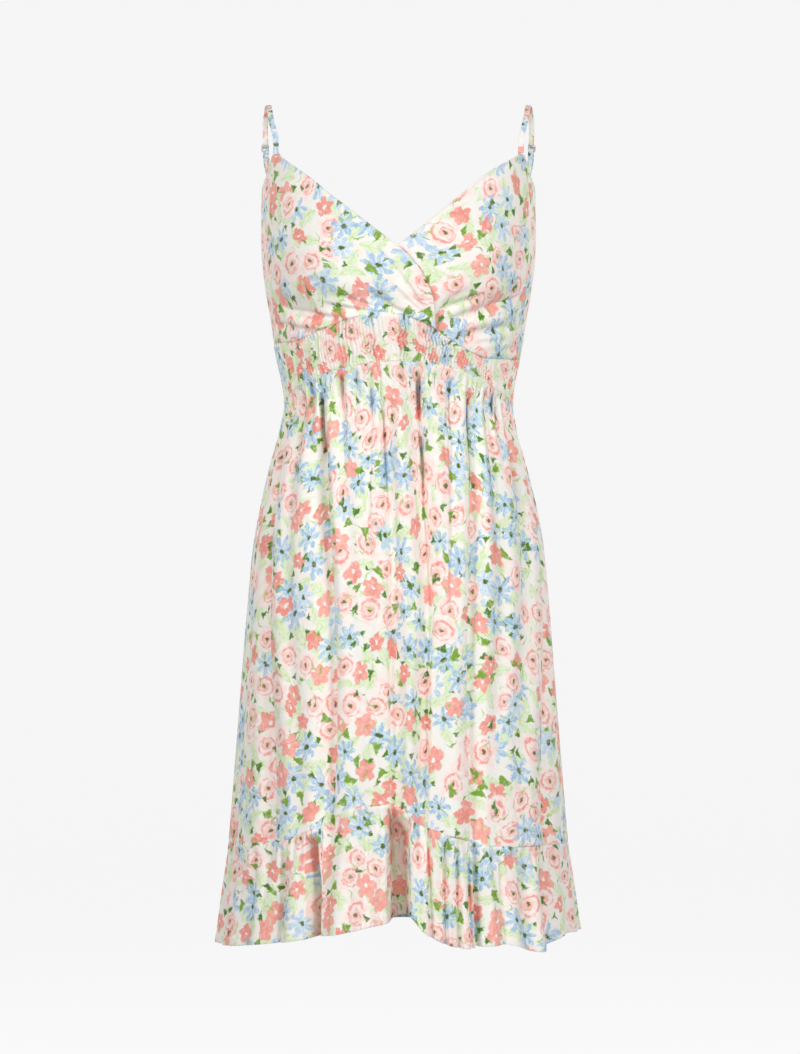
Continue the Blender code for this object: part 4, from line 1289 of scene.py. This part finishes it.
def border_faces(rows, columns):
    spot = np.arange(rows * columns).reshape(rows, columns)
    loop = np.concatenate([spot[0, :-1], spot[:-1, -1], spot[-1, :0:-1], spot[:0:-1, 0]])
    after = np.roll(loop, -1)
    inside = rows * columns
    return np.stack([loop, after, after + inside, loop + inside], axis=1)


def cloth_shell(name, outer, flat, materials):
    """A thin closed shell on a grid of points, with the place of each point in the flat cloth."""
    rows, columns = outer.shape[:2]
    inner = outer - CLOTH * grid_normals(outer)
    points = np.concatenate([outer.reshape(-1, 3), inner.reshape(-1, 3)])
    outside = grid_faces(rows, columns, 0, False)
    inside = grid_faces(rows, columns, rows * columns, True)
    edge = border_faces(rows, columns)
    faces = np.concatenate([outside, inside, edge])
    thing = make_mesh(name, points, faces.tolist())
    mesh = thing.data
    for material in materials:
        mesh.materials.append(material)
    lining = np.zeros(len(faces), int)
    lining[len(outside) : len(outside) + len(inside)] = 1
    mesh.polygons.foreach_set("material_index", lining)
    shift = np.random.default_rng(len(name)).uniform(0.0, 900.0, 2)
    places = np.concatenate([flat.reshape(-1, 2) + shift] * 2) * METRES
    layer = mesh.uv_layers.new(name="cloth")
    layer.data.foreach_set("uv", places[faces.ravel()].ravel())
    return thing


def half_round(start, columns, down, top, bottom):
    across = np.linspace(start, start + 180.0, columns + 1)
    down = down[:, None]
    return np.tile(across, (len(down), 1)), top(across) * (1 - down) + bottom(across) * down


def seam_tuck(below):
    """How far cloth sinks in where it goes up under the piece that it is sewn to."""
    return -SEAM_TUCK * (1 - ease(-0.4, 1.6, below))


def rolled(distance):
    """How far the last of a piece rolls in towards the seam at its edge."""
    return -ROLL_DEPTH * (1 - ease(0.0, ROLL_WIDTH, distance))


def folded(distance, width):
    """How far a narrow folded hem stands out, with its fold rounded off."""
    return FOLDED_RISE * (1 - ease(width - 0.5, width + 0.6, distance)) - 0.3 * (1 - ease(0.0, 0.9, distance))


def from_edge(points, edge):
    """How far each point of a grid lies from its top, bottom, left or right edge."""
    if edge in ("top", "bottom"):
        points = points.swapaxes(0, 1)
    reach = row_lengths(points)
    if edge in ("bottom", "right"):
        reach = reach[:, -1:] - reach
    return reach.T if edge in ("top", "bottom") else reach


def shares(rows, length, top, bottom, power=1.0):
    """Rows of a panel from 0 to 1 of its length, with close ones at both its ends."""
    first, last = top[-1] / length, 1 - bottom[-1] / length
    middle = first + (last - first) * np.linspace(0.0, 1.0, rows + 3 - len(top) - len(bottom)) ** power
    return np.concatenate([np.array(top[:-1]) / length, middle, 1 - np.array(bottom[-2::-1]) / length])


def from_side_seam(angle, height):
    """How far round the dress a point lies from the nearer side seam."""
    aside = np.minimum(np.abs(apart(angle, SIDE_SEAM)), np.abs(apart(angle, -SIDE_SEAM)))
    return aside * arc_length(angle, height)


def side_ditch(angle, height):
    """The shallow ditch along each side seam."""
    return -DITCH_DEPTH * np.exp(-((from_side_seam(angle, height) / DITCH_WIDTH) ** 2))


def free_of_seam(angle, height):
    """How freely cloth waves near a side seam, where both of its panels lie level."""
    return 1 - np.exp(-((from_side_seam(angle, height) / LEVEL_AT_SEAM) ** 2))


def sewn(angle, height, lift):
    """Points of a piece's outer face, drawn in along the side seams."""
    return raise_by(angle, height, lift + side_ditch(angle, height))


def even_places(start, columns, surface):
    """Angles that give each column the same width of cloth on a surface."""
    places = np.linspace(start, start + 180.0, 2 * columns + 1)
    covered = row_lengths(surface(places)).mean(axis=0)
    return np.interp(np.linspace(0.0, covered[-1], columns + 1), covered, places)


def skirt_places(place, rows):
    """The angle and height of each place in a skirt panel, along its threads."""
    down = shares(rows, SKIRT_CUT[1], SEAM_ROWS, SEAM_ROWS, 1.2)[:, None]
    height = band_bottom(place) * (1 - down) + ruffle_seam(place) * down
    angle = thread_angle(np.broadcast_to(place, height.shape), height)
    height = band_bottom(angle) * (1 - down) + ruffle_seam(angle) * down
    angle[-1], height[-1] = place, ruffle_seam(place)
    height[0] += SEAM_LAP
    return angle, height


def skirt_lift(angle, height):
    return FOLD_KEPT * skirt_folds(angle, height) + skirt_lines(angle, height)


def skirt_grid(start, columns, rows):
    """A skirt panel's points and their places in the flat cloth."""

    def surface(place):
        angle, height = skirt_places(place, 12)
        return raise_by(angle, height, skirt_lift(angle, height))

    angle, height = skirt_places(even_places(start, columns, surface), rows)
    below = band_bottom(angle) - height
    grows = 0.25 + 0.75 * ease(-1.0, 10.0, below)
    lift = skirt_lift(angle, height) * grows
    across = np.linspace(0.0, SKIRT_CUT[0], columns + 1) + 0.0 * height
    seed = int(start) + 200
    long_waves = 2.2 * ease(40.0, 160.0, below) * wander(across + 0.03 * below, 34.0, seed + 9)
    lift = lift + free_of_seam(angle, height) * (gathers(SKIRT_GATHERS, across, below, seed) + long_waves)
    lift = lift + seam_tuck(below) + rolled(height - ruffle_seam(angle))
    deep = grows * slots(SKIRT_SLOTS, angle, height)
    outer = sewn(angle, height, lift) + deep[..., None] * slot_direction(angle, height)
    wide = row_lengths(raise_by(angle, height, skirt_lift(angle, height)))
    return outer, np.stack([wide / wide[:, -1:] * SKIRT_CUT[0], height], axis=-1)


def ruffle_grid(start, columns, rows):
    """A ruffle panel's points and their places in the flat cloth."""

    def shape(place, rows):
        down = shares(rows, RUFFLE_CUT[1], SEAM_ROWS, HEM_ROWS)[:, None]
        height = ruffle_seam(place) * (1 - down) + hem(place) * down
        height[0] += SEAM_LAP
        angle = np.broadcast_to(place, height.shape)
        reach = ruffle_reach(angle, height)
        kept = (1 - FOLD_LOSS * reach) * (FOLD_KEPT + (1 - FOLD_KEPT) * ease(0.0, 0.4, reach))
        lift = skirt_folds(angle, height) * kept + ruffle_waves(angle, height)
        lift = lift + skirt_lines(angle, height) * (1 - ease(0.1, 1.0, reach))
        return angle, height, lift

    places = even_places(start, columns, lambda place: raise_by(*shape(place, 16)))
    angle, height, lift = shape(places, rows)
    across = np.linspace(0.0, RUFFLE_CUT[0], columns + 1) + 0.0 * height
    below = ruffle_seam(angle) - height
    seed = int(start) + 500
    lift = lift + free_of_seam(angle, height) * gathers(RUFFLE_GATHERS, across, below, seed)
    lift = lift + seam_tuck(below) + folded(height - hem(angle), HEM_FOLD)
    outer = sewn(angle, height, lift)
    return outer, np.stack([across, height], axis=-1)


def waistband_grid(start, columns, rows):
    """A waistband panel: uneven upright puckers between rows of elastic thread."""
    down = shares(rows, BAND_CUT[1], SEAM_ROWS, SEAM_ROWS)
    angle, height = half_round(start, columns, down, band_top, band_bottom)
    down = down[:, None] + 0.0 * angle
    height[0] += SEAM_LAP
    across = row_lengths(form_point(angle, height)).mean(axis=0)
    across = across / across[-1] * BAND_CUT[0] + 0.0 * down
    seed = int(start) + 800
    slip = 2.6 * wander(0.5 * SHIRR_ROWS * down + across / 45.0, 1.0, seed)
    puff = np.abs(np.sin(np.pi * SHIRR_ROWS * down)) ** 0.8
    ribs = gather_waves(across + slip, SHIRR_PITCH, seed + 3)
    broad = 0.9 * gather_waves(across + 2.0 * slip, 3.1 * SHIRR_PITCH, seed + 8)
    edge = 0.35 + 0.65 * ease(0.0, 0.1, down) * (1 - ease(0.9, 1.0, down))
    lift = 0.4 + edge * (SHIRR_DEPTH * (0.75 + 0.25 * puff) * ribs + broad + 0.3 * puff)
    lift = lift + seam_tuck(band_top(angle) - height) + rolled(height - band_bottom(angle))
    outer = sewn(angle, height, lift)
    wide = row_lengths(outer)
    return outer, np.stack([wide / wide[:, -1:] * BAND_CUT[0], height], axis=-1)


def grid_between(side_edge, neck, waist):
    """A grid drawn in from its side, neck and waist edges, with a straight top. Its rows run down."""
    u = np.linspace(0.0, 1.0, len(waist))[None, :, None]
    v = np.linspace(0.0, 1.0, len(neck))[:, None, None]
    top = side_edge[-1] * (1 - u) + neck[-1] * u
    ruled = side_edge[:, None] * (1 - u) + neck[:, None] * u + waist[None] * (1 - v) + top * v
    corners = (waist[0] * (1 - u) + waist[-1] * u) * (1 - v) + top * v
    return (ruled - corners)[::-1]


def front_panel_places(side, neck_edge):
    """The angle and height of each point of a crossed front panel."""
    waist = side * np.linspace(SIDE_SEAM, side * neck_edge[-1][0], BODICE_COLUMNS + 1)
    waist = np.stack([waist, band_top(waist) + SEAM_GAP], axis=-1)
    armhole = [(side * angle, height) for angle, height in ARMHOLE]
    side_edge = np.linspace(waist[0], armhole[0], SIDE_SEAM_ROWS + 1)[:-1]
    side_edge = np.concatenate([side_edge, smooth_line(armhole, ARMHOLE_ROWS + 1)])
    neck = [tuple(waist[-1]), *neck_edge[-2::-1]]
    grid = grid_between(side_edge, smooth_line(neck, len(side_edge)), waist)
    if side > 0:
        grid = grid[:, ::-1]
    return grid[..., 0], grid[..., 1]


def front_bodice_grid(side, neck_edge, lift):
    """A crossed front panel's points and their places in the flat cloth, which is cut on a slant."""
    angle, height = front_panel_places(side, neck_edge)
    plain = raise_by(angle, height, lift(angle, height))
    neck_side, arm_side = ("left", "right") if side > 0 else ("right", "left")
    at_armhole = ease(-2.0, 3.0, height - ARMHOLE[0][1])
    edges = folded(from_edge(plain, neck_side), NECK_FOLD)
    edges = edges + at_armhole * folded(from_edge(plain, arm_side), NECK_FOLD)
    edges = edges + rolled(from_edge(plain, "bottom"))
    outer = sewn(angle, height, lift(angle, height) + edges)
    turn = side * BODICE_BIAS
    across = apart(angle, 0.0) * BODICE_SCALE
    flat = [across * np.cos(turn) - height * np.sin(turn), across * np.sin(turn) + height * np.cos(turn)]
    return outer, np.stack(flat, axis=-1)


def back_bodice_grid():
    """The back panel's points and their places in the flat cloth."""
    down = shares(BACK_ROWS, BACK_LENGTH, NECK_ROWS, SEAM_ROWS)
    angle, height = half_round(SIDE_SEAM, BACK_COLUMNS, down, back_top, band_top)
    height[-1] += SEAM_GAP
    plain = form_point(angle, height)
    edges = folded(from_edge(plain, "top"), NECK_FOLD) + rolled(from_edge(plain, "bottom"))
    outer = sewn(angle, height, edges)
    wide = row_lengths(plain)
    return outer, np.stack([wide - 0.5 * wide[:, -1:], height], axis=-1)


def mid_wall(angle, height):
    """The middle of the model's cloth on the form."""
    return form_point(angle, height) - 0.5 * MODEL_CLOTH * outward(angle, height)


def strap_route(side, count=400):
    """Points, and the three directions at each, along a strap from the front panel to the back one."""
    front = mid_wall(STRAP_JOIN_ANGLE, ARMHOLE[-1][1] + SEAM_GAP)
    back = mid_wall(STRAP_BACK_ANGLE, back_top(STRAP_BACK_ANGLE) + SEAM_GAP)
    front_lead = front + [0.0, STRAP_LEAN, STRAP_LEAD]
    back_lead = back - [0.0, STRAP_LEAN, -STRAP_LEAD]
    points = smooth_line([front, front_lead, *STRAP_ROUTE, back_lead, back], count)
    points[:, 0] *= side
    along = unit(np.gradient(points, axis=0))
    away = points - np.array([side * SHOULDER_CENTRE[0], *SHOULDER_CENTRE[1:]])
    across = unit(np.cross(along, away))
    return points, along, across, np.cross(across, along)


class Route:
    """A strap's route, read by the distance along it."""

    def __init__(self, side):
        self.lines = strap_route(side)
        self.places = distances(self.lines[0])
        self.length = self.places[-1]

    def frame(self, place):
        """The point, and the directions along, across and outward, at this distance."""
        return [read_line(self.places, line, place) for line in self.lines]


def smooth_run(knots, spacing):
    """Closely spaced (place, height) points of a smooth curve through the knots."""
    length = distances(np.array(knots))[-1]
    return [tuple(point) for point in smooth_line(knots, max(2, int(length / spacing) + 1))]


def half_turn(place, ahead):
    """A half turn round a bar at this place, from outside the bar to inside it."""
    turn = np.radians(np.linspace(90.0, -90.0, 11))
    return list(zip(place + ahead * TURN_RADIUS * np.cos(turn), TURN_RADIUS * np.sin(turn)))


def strap_places(route):
    """Where the slider's middle and the ring's middle lie along the route."""
    return route.length * SLIDER_PLACE, route.length - RING_TO_EDGE


def strap_path(route):
    """The long strap: over the shoulder, through the slider, round the ring and back to the slider."""
    slider, ring = strap_places(route)
    slot = SLIDER_SLOT + HARDWARE_BAR
    upper_bar = ring - (RING_SLOT + HARDWARE_BAR) / 2
    lower_bar = slider + slot
    doubled = lower_bar + DOUBLED_FROM
    through_slider = [
        (slider - SLIDER_APPROACH, 0.0),
        (slider - slot, -STRAP_STACK),
        (slider, STRAP_STACK),
        (lower_bar, -STRAP_STACK),
        ((lower_bar + doubled) / 2, 0.0),
        (doubled, TURN_RADIUS),
    ]
    end_at_slider = [
        ((lower_bar + doubled) / 2 + FINE_STEP, -1.6 * STRAP_STACK),
        (lower_bar, -2.1 * STRAP_STACK),
        (slider + HARDWARE_BAR / 2, -STRAP_STACK),
    ]
    run = smooth_run([(0.0, 0.0), (slider - SLIDER_APPROACH - LONG_STEP, 0.0)], LONG_STEP)
    run += smooth_run(through_slider, FINE_STEP)
    run += smooth_run([(doubled + LONG_STEP, TURN_RADIUS), (upper_bar - FINE_STEP, TURN_RADIUS)], LONG_STEP)
    run += half_turn(upper_bar, 1.0)
    run += smooth_run([(upper_bar - FINE_STEP, -TURN_RADIUS), (doubled + LONG_STEP, -TURN_RADIUS)], LONG_STEP)
    run += smooth_run(end_at_slider, FINE_STEP)
    return run


def tab_path(route):
    """The short loop that holds the ring, both its legs sewn to the back's top edge."""
    _, ring = strap_places(route)
    lower_bar = ring + (RING_SLOT + HARDWARE_BAR) / 2
    end = route.length
    knots = [(end, TAB_LEG), (end - FINE_STEP, TAB_LEG), (lower_bar + FINE_STEP, TURN_RADIUS)]
    outside = smooth_run(knots, FINE_STEP)
    return outside + half_turn(lower_bar, -1.0) + [(place, -rise) for place, rise in reversed(outside)]


def pressed_round(half_width, half_height):
    """The outline of a tube that is pressed flat, as places across and up."""
    turn = 2 * np.pi * (np.arange(STRAP_ROUND) + 0.5) / STRAP_ROUND - np.pi / 2
    across = half_width * np.sign(np.cos(turn)) * np.abs(np.cos(turn)) ** 0.5
    return across, half_height * np.sign(np.sin(turn)) * np.abs(np.sin(turn)) ** 0.8


def outline_places(wide, high):
    """How far round a closed outline each of its points lies, and the whole way round last."""
    outline = np.stack([wide, high], axis=-1)
    return distances(np.concatenate([outline, outline[:1]]))


def strap_shell(centres, across, up):
    """Points and faces of a pressed tube with a thin wall, its ends turned in."""
    layers = []
    for wall in (0.0, STRAP_WALL):
        wide, high = pressed_round(STRAP_WIDTH / 2 - wall, STRAP_THICKNESS / 2 - wall)
        layer = centres[:, None] + wide[:, None] * across[:, None] + high[:, None] * up[:, None]
        layers.append(layer.reshape(-1, 3))
    outside = tube_faces(len(centres), STRAP_ROUND)
    inner = len(layers[0])
    first = np.arange(STRAP_ROUND)
    after = np.roll(first, -1)
    rim = np.stack([first, first + inner, after + inner, after], axis=-1)
    last_rim = rim[:, ::-1] + inner - STRAP_ROUND
    return np.concatenate(layers), np.concatenate([outside, outside[:, ::-1] + inner, rim, last_rim])


def strap_print(node, faces, along):
    """Where each corner of a strap's faces lies in the print, at true size round the strap and along it."""
    row = faces % (len(along) * STRAP_ROUND) // STRAP_ROUND
    column = faces % STRAP_ROUND
    at_join = (column == 0) & (column.max(axis=1, keepdims=True) == STRAP_ROUND - 1)
    column = np.where(at_join, STRAP_ROUND, column)
    round_it = outline_places(*pressed_round(STRAP_WIDTH / 2, STRAP_THICKNESS / 2))
    return np.stack([round_it[column], along[row]], axis=-1) + STRAP_PRINTS[node]


def strap_cloth(name, node, route, path, materials):
    """A strap: a narrow tube of the printed cloth, turned and pressed flat."""
    place, rise = np.array(path).T
    points, _, across, out = route.frame(place)
    centres = points + rise[:, None] * out
    across = unit(across)
    up = unit(np.cross(across, np.gradient(centres, axis=0)))
    points, faces = strap_shell(centres, across, up)
    thing = make_mesh(name, points, faces.tolist())
    thing.data.materials.append(materials[0])
    along = distances(centres)
    layer = thing.data.uv_layers.new(name="cloth")
    layer.data.foreach_set("uv", (strap_print(node, faces, along) * METRES).ravel())
    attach(thing, "root")
    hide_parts(node)


def wire_section(centres, along, up):
    """Points round each point of a wire."""
    side = unit(np.cross(up, along))
    turn = 2 * np.pi * np.arange(WIRE_SIDES) / WIRE_SIDES
    round_it = np.cos(turn)[:, None] * side[:, None] + np.sin(turn)[:, None] * unit(up)[:, None]
    return centres[:, None] + HARDWARE_RADIUS * round_it


def rounded_outline(half_width, half_length):
    """A rectangle with rounded corners, as places across and along."""
    corner = np.radians(np.linspace(0.0, 90.0, 7))
    outline = []
    for quarter, (x, y) in enumerate([(1, 1), (-1, 1), (-1, -1), (1, -1)]):
        turn = corner + quarter * np.pi / 2
        middle = np.array([x * (half_width - HARDWARE_CORNER), y * (half_length - HARDWARE_CORNER)])
        outline.append(middle + HARDWARE_CORNER * np.stack([np.cos(turn), np.sin(turn)], axis=-1))
    return np.concatenate(outline)


def wire_frame(name, node, route, place, length, bars, material):
    """A small frame of round wire with rounded corners, and bars across it."""
    centre, *ways = route.frame(place)
    along, across, out = (unit(way) for way in ways)
    half_width = HARDWARE_WIDTH / 2 - HARDWARE_RADIUS
    outline = rounded_outline(half_width, length / 2 - HARDWARE_RADIUS)
    loop = centre + outline[:, :1] * across + outline[:, 1:] * along
    ahead = unit(np.roll(loop, -1, axis=0) - np.roll(loop, 1, axis=0))
    sections = [wire_section(loop, ahead, np.tile(out, (len(loop), 1)))]
    faces = tube_faces(len(loop), WIRE_SIDES, closed=True).tolist()
    for bar in bars:
        ends = centre + bar * along + np.array([[-half_width], [half_width]]) * across
        before = WIRE_SIDES * sum(len(section) for section in sections)
        faces += [[corner + before for corner in face] for face in rod_faces(2, WIRE_SIDES)]
        sections.append(wire_section(ends, np.tile(across, (2, 1)), np.tile(out, (2, 1))))
    thing = make_mesh(name, np.concatenate(sections).reshape(-1, 3), faces)
    thing.data.materials.append(material)
    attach(thing, "root")
    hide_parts(node)


def make_straps(cloth, metal):
    for name, side in (("left", 1), ("right", -1)):
        route = Route(side)
        slider, ring = strap_places(route)
        strap_cloth("strap_cloth_" + name, "strap_" + name, route, strap_path(route), cloth)
        strap_cloth("strap_tab_cloth_" + name, "strap_tab_" + name, route, tab_path(route), cloth)
        slider_length = 3 * HARDWARE_BAR + 2 * SLIDER_SLOT
        ring_length = 2 * HARDWARE_BAR + RING_SLOT
        wire_frame("slider_wire_" + name, "slider_" + name, route, slider, slider_length, [0.0], metal)
        wire_frame("ring_wire_" + name, "ring_" + name, route, ring, ring_length, [], metal)


def edge_line(outer, edge, inset):
    """Points and outward directions along one edge of a grid, at a distance in from it."""
    reach = from_edge(outer, edge)
    normals = grid_normals(outer)
    if edge in ("left", "right"):
        outer, normals, reach = outer.swapaxes(0, 1), normals.swapaxes(0, 1), reach.T
    if edge in ("bottom", "right"):
        outer, normals, reach = outer[::-1], normals[::-1], reach[::-1]
    after = np.clip((reach < inset).sum(axis=0), 1, len(outer) - 1)
    column = np.arange(outer.shape[1])
    low, high = reach[after - 1, column], reach[after, column]
    share = ((inset - low) / (high - low))[:, None]
    line = outer[after - 1, column] * (1 - share) + outer[after, column] * share
    out = normals[after - 1, column] * (1 - share) + normals[after, column] * share
    return line, unit(out)


def row_line(outer, share):
    """Points and outward directions along a grid at a share of the way down it."""
    row = share * (len(outer) - 1)
    low = int(row)
    part = row - low
    normals = grid_normals(outer)
    lines = [values[low] * (1 - part) + values[low + 1] * part for values in (outer, normals)]
    return lines[0], unit(lines[1])


def along_line(line, at):
    """A line's points and outward directions at distances along it."""
    places = distances(line[0])
    return [read_line(places, values, at) for values in line]


def line_length(line):
    return distances(line[0])[-1]


def four_corners(centres, out, radius):
    """Four points round each point of threads that run along the last axis but one."""
    ahead = unit(np.gradient(centres, axis=-2))
    side = unit(np.cross(out, ahead))
    up = np.cross(ahead, side)
    return np.stack([centres + radius * way for way in (side, up, -side, -up)], axis=-2)


def make_threads(name, threads, material):
    """One piece of many threads, each a list of four-cornered sections."""
    points, faces, offset = [], [], 0
    for thread in threads:
        count, stations = thread.shape[:2]
        one = np.array(rod_faces(stations, 4))
        faces.append((one + offset + 4 * stations * np.arange(count)[:, None, None]).reshape(-1, 4))
        points.append(thread.reshape(-1, 3))
        offset += 4 * stations * count
    thing = make_mesh(name, np.concatenate(points), np.concatenate(faces).tolist())
    thing.data.materials.append(material)
    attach(thing, "root")


def stitches(line, length=STITCH_LENGTH, gap=STITCH_GAP):
    """Short arches of thread along a line, their ends sunk in the cloth."""
    starts = np.arange(0.5 * gap, line_length(line) - length, length + gap)
    centres, out = along_line(line, starts[:, None] + length * np.array([0.0, 0.5, 1.0]))
    centres = centres + np.array([-1.2, 1.0, -1.2])[:, None] * STITCH_RISE * out
    return four_corners(centres, out, STITCH_RADIUS)


def elastic(line):
    """Elastic thread on the wrong side of the cloth, along a line."""
    centres, out = along_line(line, np.arange(0.0, line_length(line), ELASTIC_STEP))
    return four_corners((centres - (CLOTH + 0.2) * out)[None], out[None], ELASTIC_RADIUS)


def bar_tack(route, place, rise):
    """A row of short stitches across a strap, close together."""
    centre, along, across, out = route.frame(place)
    threads = []
    for offset in np.linspace(-TACK_REACH, TACK_REACH, TACK_STITCHES):
        ends = centre + offset * across + TACK_LENGTH * np.array([[-0.5], [0.0], [0.5]]) * along
        lift = rise + np.array([[-0.1], [0.12], [-0.1]])
        threads.append(four_corners((ends + lift * out)[None], np.tile(out, (1, 3, 1)), STITCH_RADIUS))
    return threads


def make_sewing(grids, thread):
    """The stitches of the folded edges, the shirring's rows and the straps' ends."""
    inset = NECK_FOLD - STITCH_INSET
    threads = []
    for neck_side, arm_side in (("right", "left"), ("left", "right")):
        outer = grids["bodice_front_" + neck_side][0]
        threads.append(stitches(edge_line(outer, neck_side, inset)))
        armhole = edge_line(outer, arm_side, inset)
        threads.append(stitches([values[: ARMHOLE_ROWS - 3] for values in armhole]))
    threads.append(stitches(edge_line(grids["bodice_back"][0], "top", inset)))
    make_threads("neck_and_armhole_stitches", threads, thread)
    ruffles = [grids[name][0] for name in ("ruffle_front", "ruffle_back")]
    threads = [stitches(edge_line(outer, "bottom", HEM_FOLD - STITCH_INSET)) for outer in ruffles]
    make_threads("hem_stitches", threads, thread)
    rows = (np.arange(SHIRR_ROWS) + 0.5) / SHIRR_ROWS
    for name in ("waistband_front", "waistband_back"):
        lines = [row_line(grids[name][0], 0.06 + 0.9 * row) for row in rows]
        make_threads(name + "_stitches", [stitches(line, SHIRR_STITCH, SHIRR_GAP) for line in lines], thread)
        make_threads(name + "_elastic", [elastic(line) for line in lines], thread)
    tacks = []
    for side in (1, -1):
        route = Route(side)
        tacks += bar_tack(route, TACK_FROM_FRONT, STRAP_THICKNESS / 2)
        tacks += bar_tack(route, route.length - TACK_FROM_BACK, TAB_LEG + STRAP_THICKNESS / 2)
    make_threads("strap_tacks", tacks, thread)


def thread_material():
    """Pale sewing thread with a fine twist."""
    material, wires, shader = new_material("sewing_thread")
    place = wires.node("ShaderNodeTexCoord").outputs["Object"]
    uneven, _ = wires.noise(place, 0.004, 2.0)
    twist, _ = wires.noise(wires.vector("MULTIPLY", place, (1.0, 1.0, 2.5)), 0.0003, 1.0)
    wires.feed(shader.inputs["Base Color"], wires.mix(uneven, tint(THREAD), tint(THREAD_LIGHT)))
    wires.feed(shader.inputs["Roughness"], wires.line(uneven, 0.2, 0.55))
    add_bump(wires, shader, twist, 0.00008)
    return material


def metal_material():
    """Satin metal of the strap's slider and ring, with fine rubbing marks."""
    material, wires, shader = new_material("strap_metal_satin")
    place = wires.node("ShaderNodeTexCoord").outputs["Object"]
    cloudy, _ = wires.noise(place, 0.003, 2.0)
    marks, _ = wires.noise(wires.vector("MULTIPLY", place, (1.0, 1.0, 9.0)), 0.0006, 2.0)
    wires.feed(shader.inputs["Base Color"], wires.mix(cloudy, tint(METAL), tint(METAL_LIGHT)))
    wires.feed(shader.inputs["Roughness"], wires.line(marks, 0.22, 0.22))
    add_bump(wires, shader, marks, 0.00003)
    shader.inputs["Metallic"].default_value = 1.0
    return material


def cloth_grids():
    """The points of every cloth piece's outer face, and their places in the flat cloth."""
    grids = {
        "bodice_front_right": front_bodice_grid(-1, RIGHT_NECK_EDGE, overlapping_lift),
        "bodice_front_left": front_bodice_grid(1, LEFT_NECK_EDGE, bodice_lift),
        "bodice_back": back_bodice_grid(),
    }
    for kind, make in (("waistband", waistband_grid), ("skirt", skirt_grid), ("ruffle", ruffle_grid)):
        for half, start in (("front", -SIDE_SEAM), ("back", SIDE_SEAM)):
            name = f"{kind}_{half}"
            grids[name] = make(start, *PANEL_POINTS[name])
    return grids


def make_cloth(grids, materials):
    for name, (outer, flat) in grids.items():
        thing = cloth_shell(name + "_cloth", outer, flat, materials)
        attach(thing, "root")
        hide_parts(name)


def add_light(name, azimuth, elevation, distance, size, power):
    """A soft square light. Azimuth 0 stands in front of the dress and 90 on its left side."""
    light = bpy.data.lights.new(name, "AREA")
    light.shape = "SQUARE"
    light.size = size
    light.energy = power
    thing = bpy.data.objects.new(name, light)
    turn, tilt = math.radians(azimuth), math.radians(elevation)
    x, y = distance * math.cos(tilt) * math.sin(turn), -distance * math.cos(tilt) * math.cos(turn)
    thing.location = (x, y, LIGHT_AIM + distance * math.sin(tilt))
    thing.rotation_euler = (math.pi / 2 - tilt, 0.0, turn)
    thing.visible_camera = False
    bpy.context.scene.collection.objects.link(thing)


def studio_material():
    """A dark wall with its own even glow."""
    material, _, shader = new_material("studio_wall")
    shader.inputs["Base Color"].default_value = (0.05, 0.05, 0.05, 1.0)
    shader.inputs["Roughness"].default_value = 0.8
    shader.inputs["Specular IOR Level"].default_value = 0.0
    shader.inputs["Emission Color"].default_value = (1.0, 1.0, 1.0, 1.0)
    shader.inputs["Emission Strength"].default_value = WALL_GLOW
    return material


def make_stage():
    """A round studio floor that curves up into a pale wall."""
    turn = np.radians(np.linspace(0.0, 90.0, 13))
    profile = [(0.01, FLOOR_HEIGHT)]
    profile += [(STAGE_RADIUS - 1.0 + np.sin(a), FLOOR_HEIGHT + 1.0 - np.cos(a)) for a in turn]
    profile += [(STAGE_RADIUS, STAGE_TOP), (0.01, STAGE_TOP)]
    angle = 2 * np.pi * np.arange(STAGE_SIDES) / STAGE_SIDES
    points = [(r * np.cos(a), r * np.sin(a), z) for r, z in profile for a in angle]
    stage = make_mesh("studio", np.array(points) / METRES, tube_faces(len(profile), STAGE_SIDES).tolist())
    stage.data.materials.append(studio_material())
    stage.visible_diffuse = False
    stage.visible_glossy = False
    stage.visible_shadow = False


def make_camera():
    camera = bpy.data.cameras.new("camera")
    camera.sensor_width = 36.0
    camera.lens = CAMERA_LENS
    thing = bpy.data.objects.new("camera", camera)
    thing.location = CAMERA_PLACE
    thing.rotation_euler = (math.pi / 2, 0.0, 0.0)
    bpy.context.scene.collection.objects.link(thing)
    bpy.context.scene.camera = thing


def make_world():
    world = bpy.data.worlds.new("studio")
    world.use_nodes = True
    background = world.node_tree.nodes["Background"]
    background.inputs["Color"].default_value = (1.0, 1.0, 1.0, 1.0)
    background.inputs["Strength"].default_value = WORLD_GLOW
    bpy.context.scene.world = world
    bpy.context.scene.view_settings.view_transform = "Standard"


def main():
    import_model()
    flowers = print_group()
    cloth = [cloth_material("printed_cloth", flowers, 0.0)]
    cloth.append(cloth_material("printed_cloth_inside", flowers, INSIDE_FADE))
    grids = cloth_grids()
    make_cloth(grids, cloth)
    make_straps(cloth, metal_material())
    make_sewing(grids, thread_material())
    make_stage()
    make_camera()
    for light in LIGHTS:
        add_light(*light)
    make_world()


main()
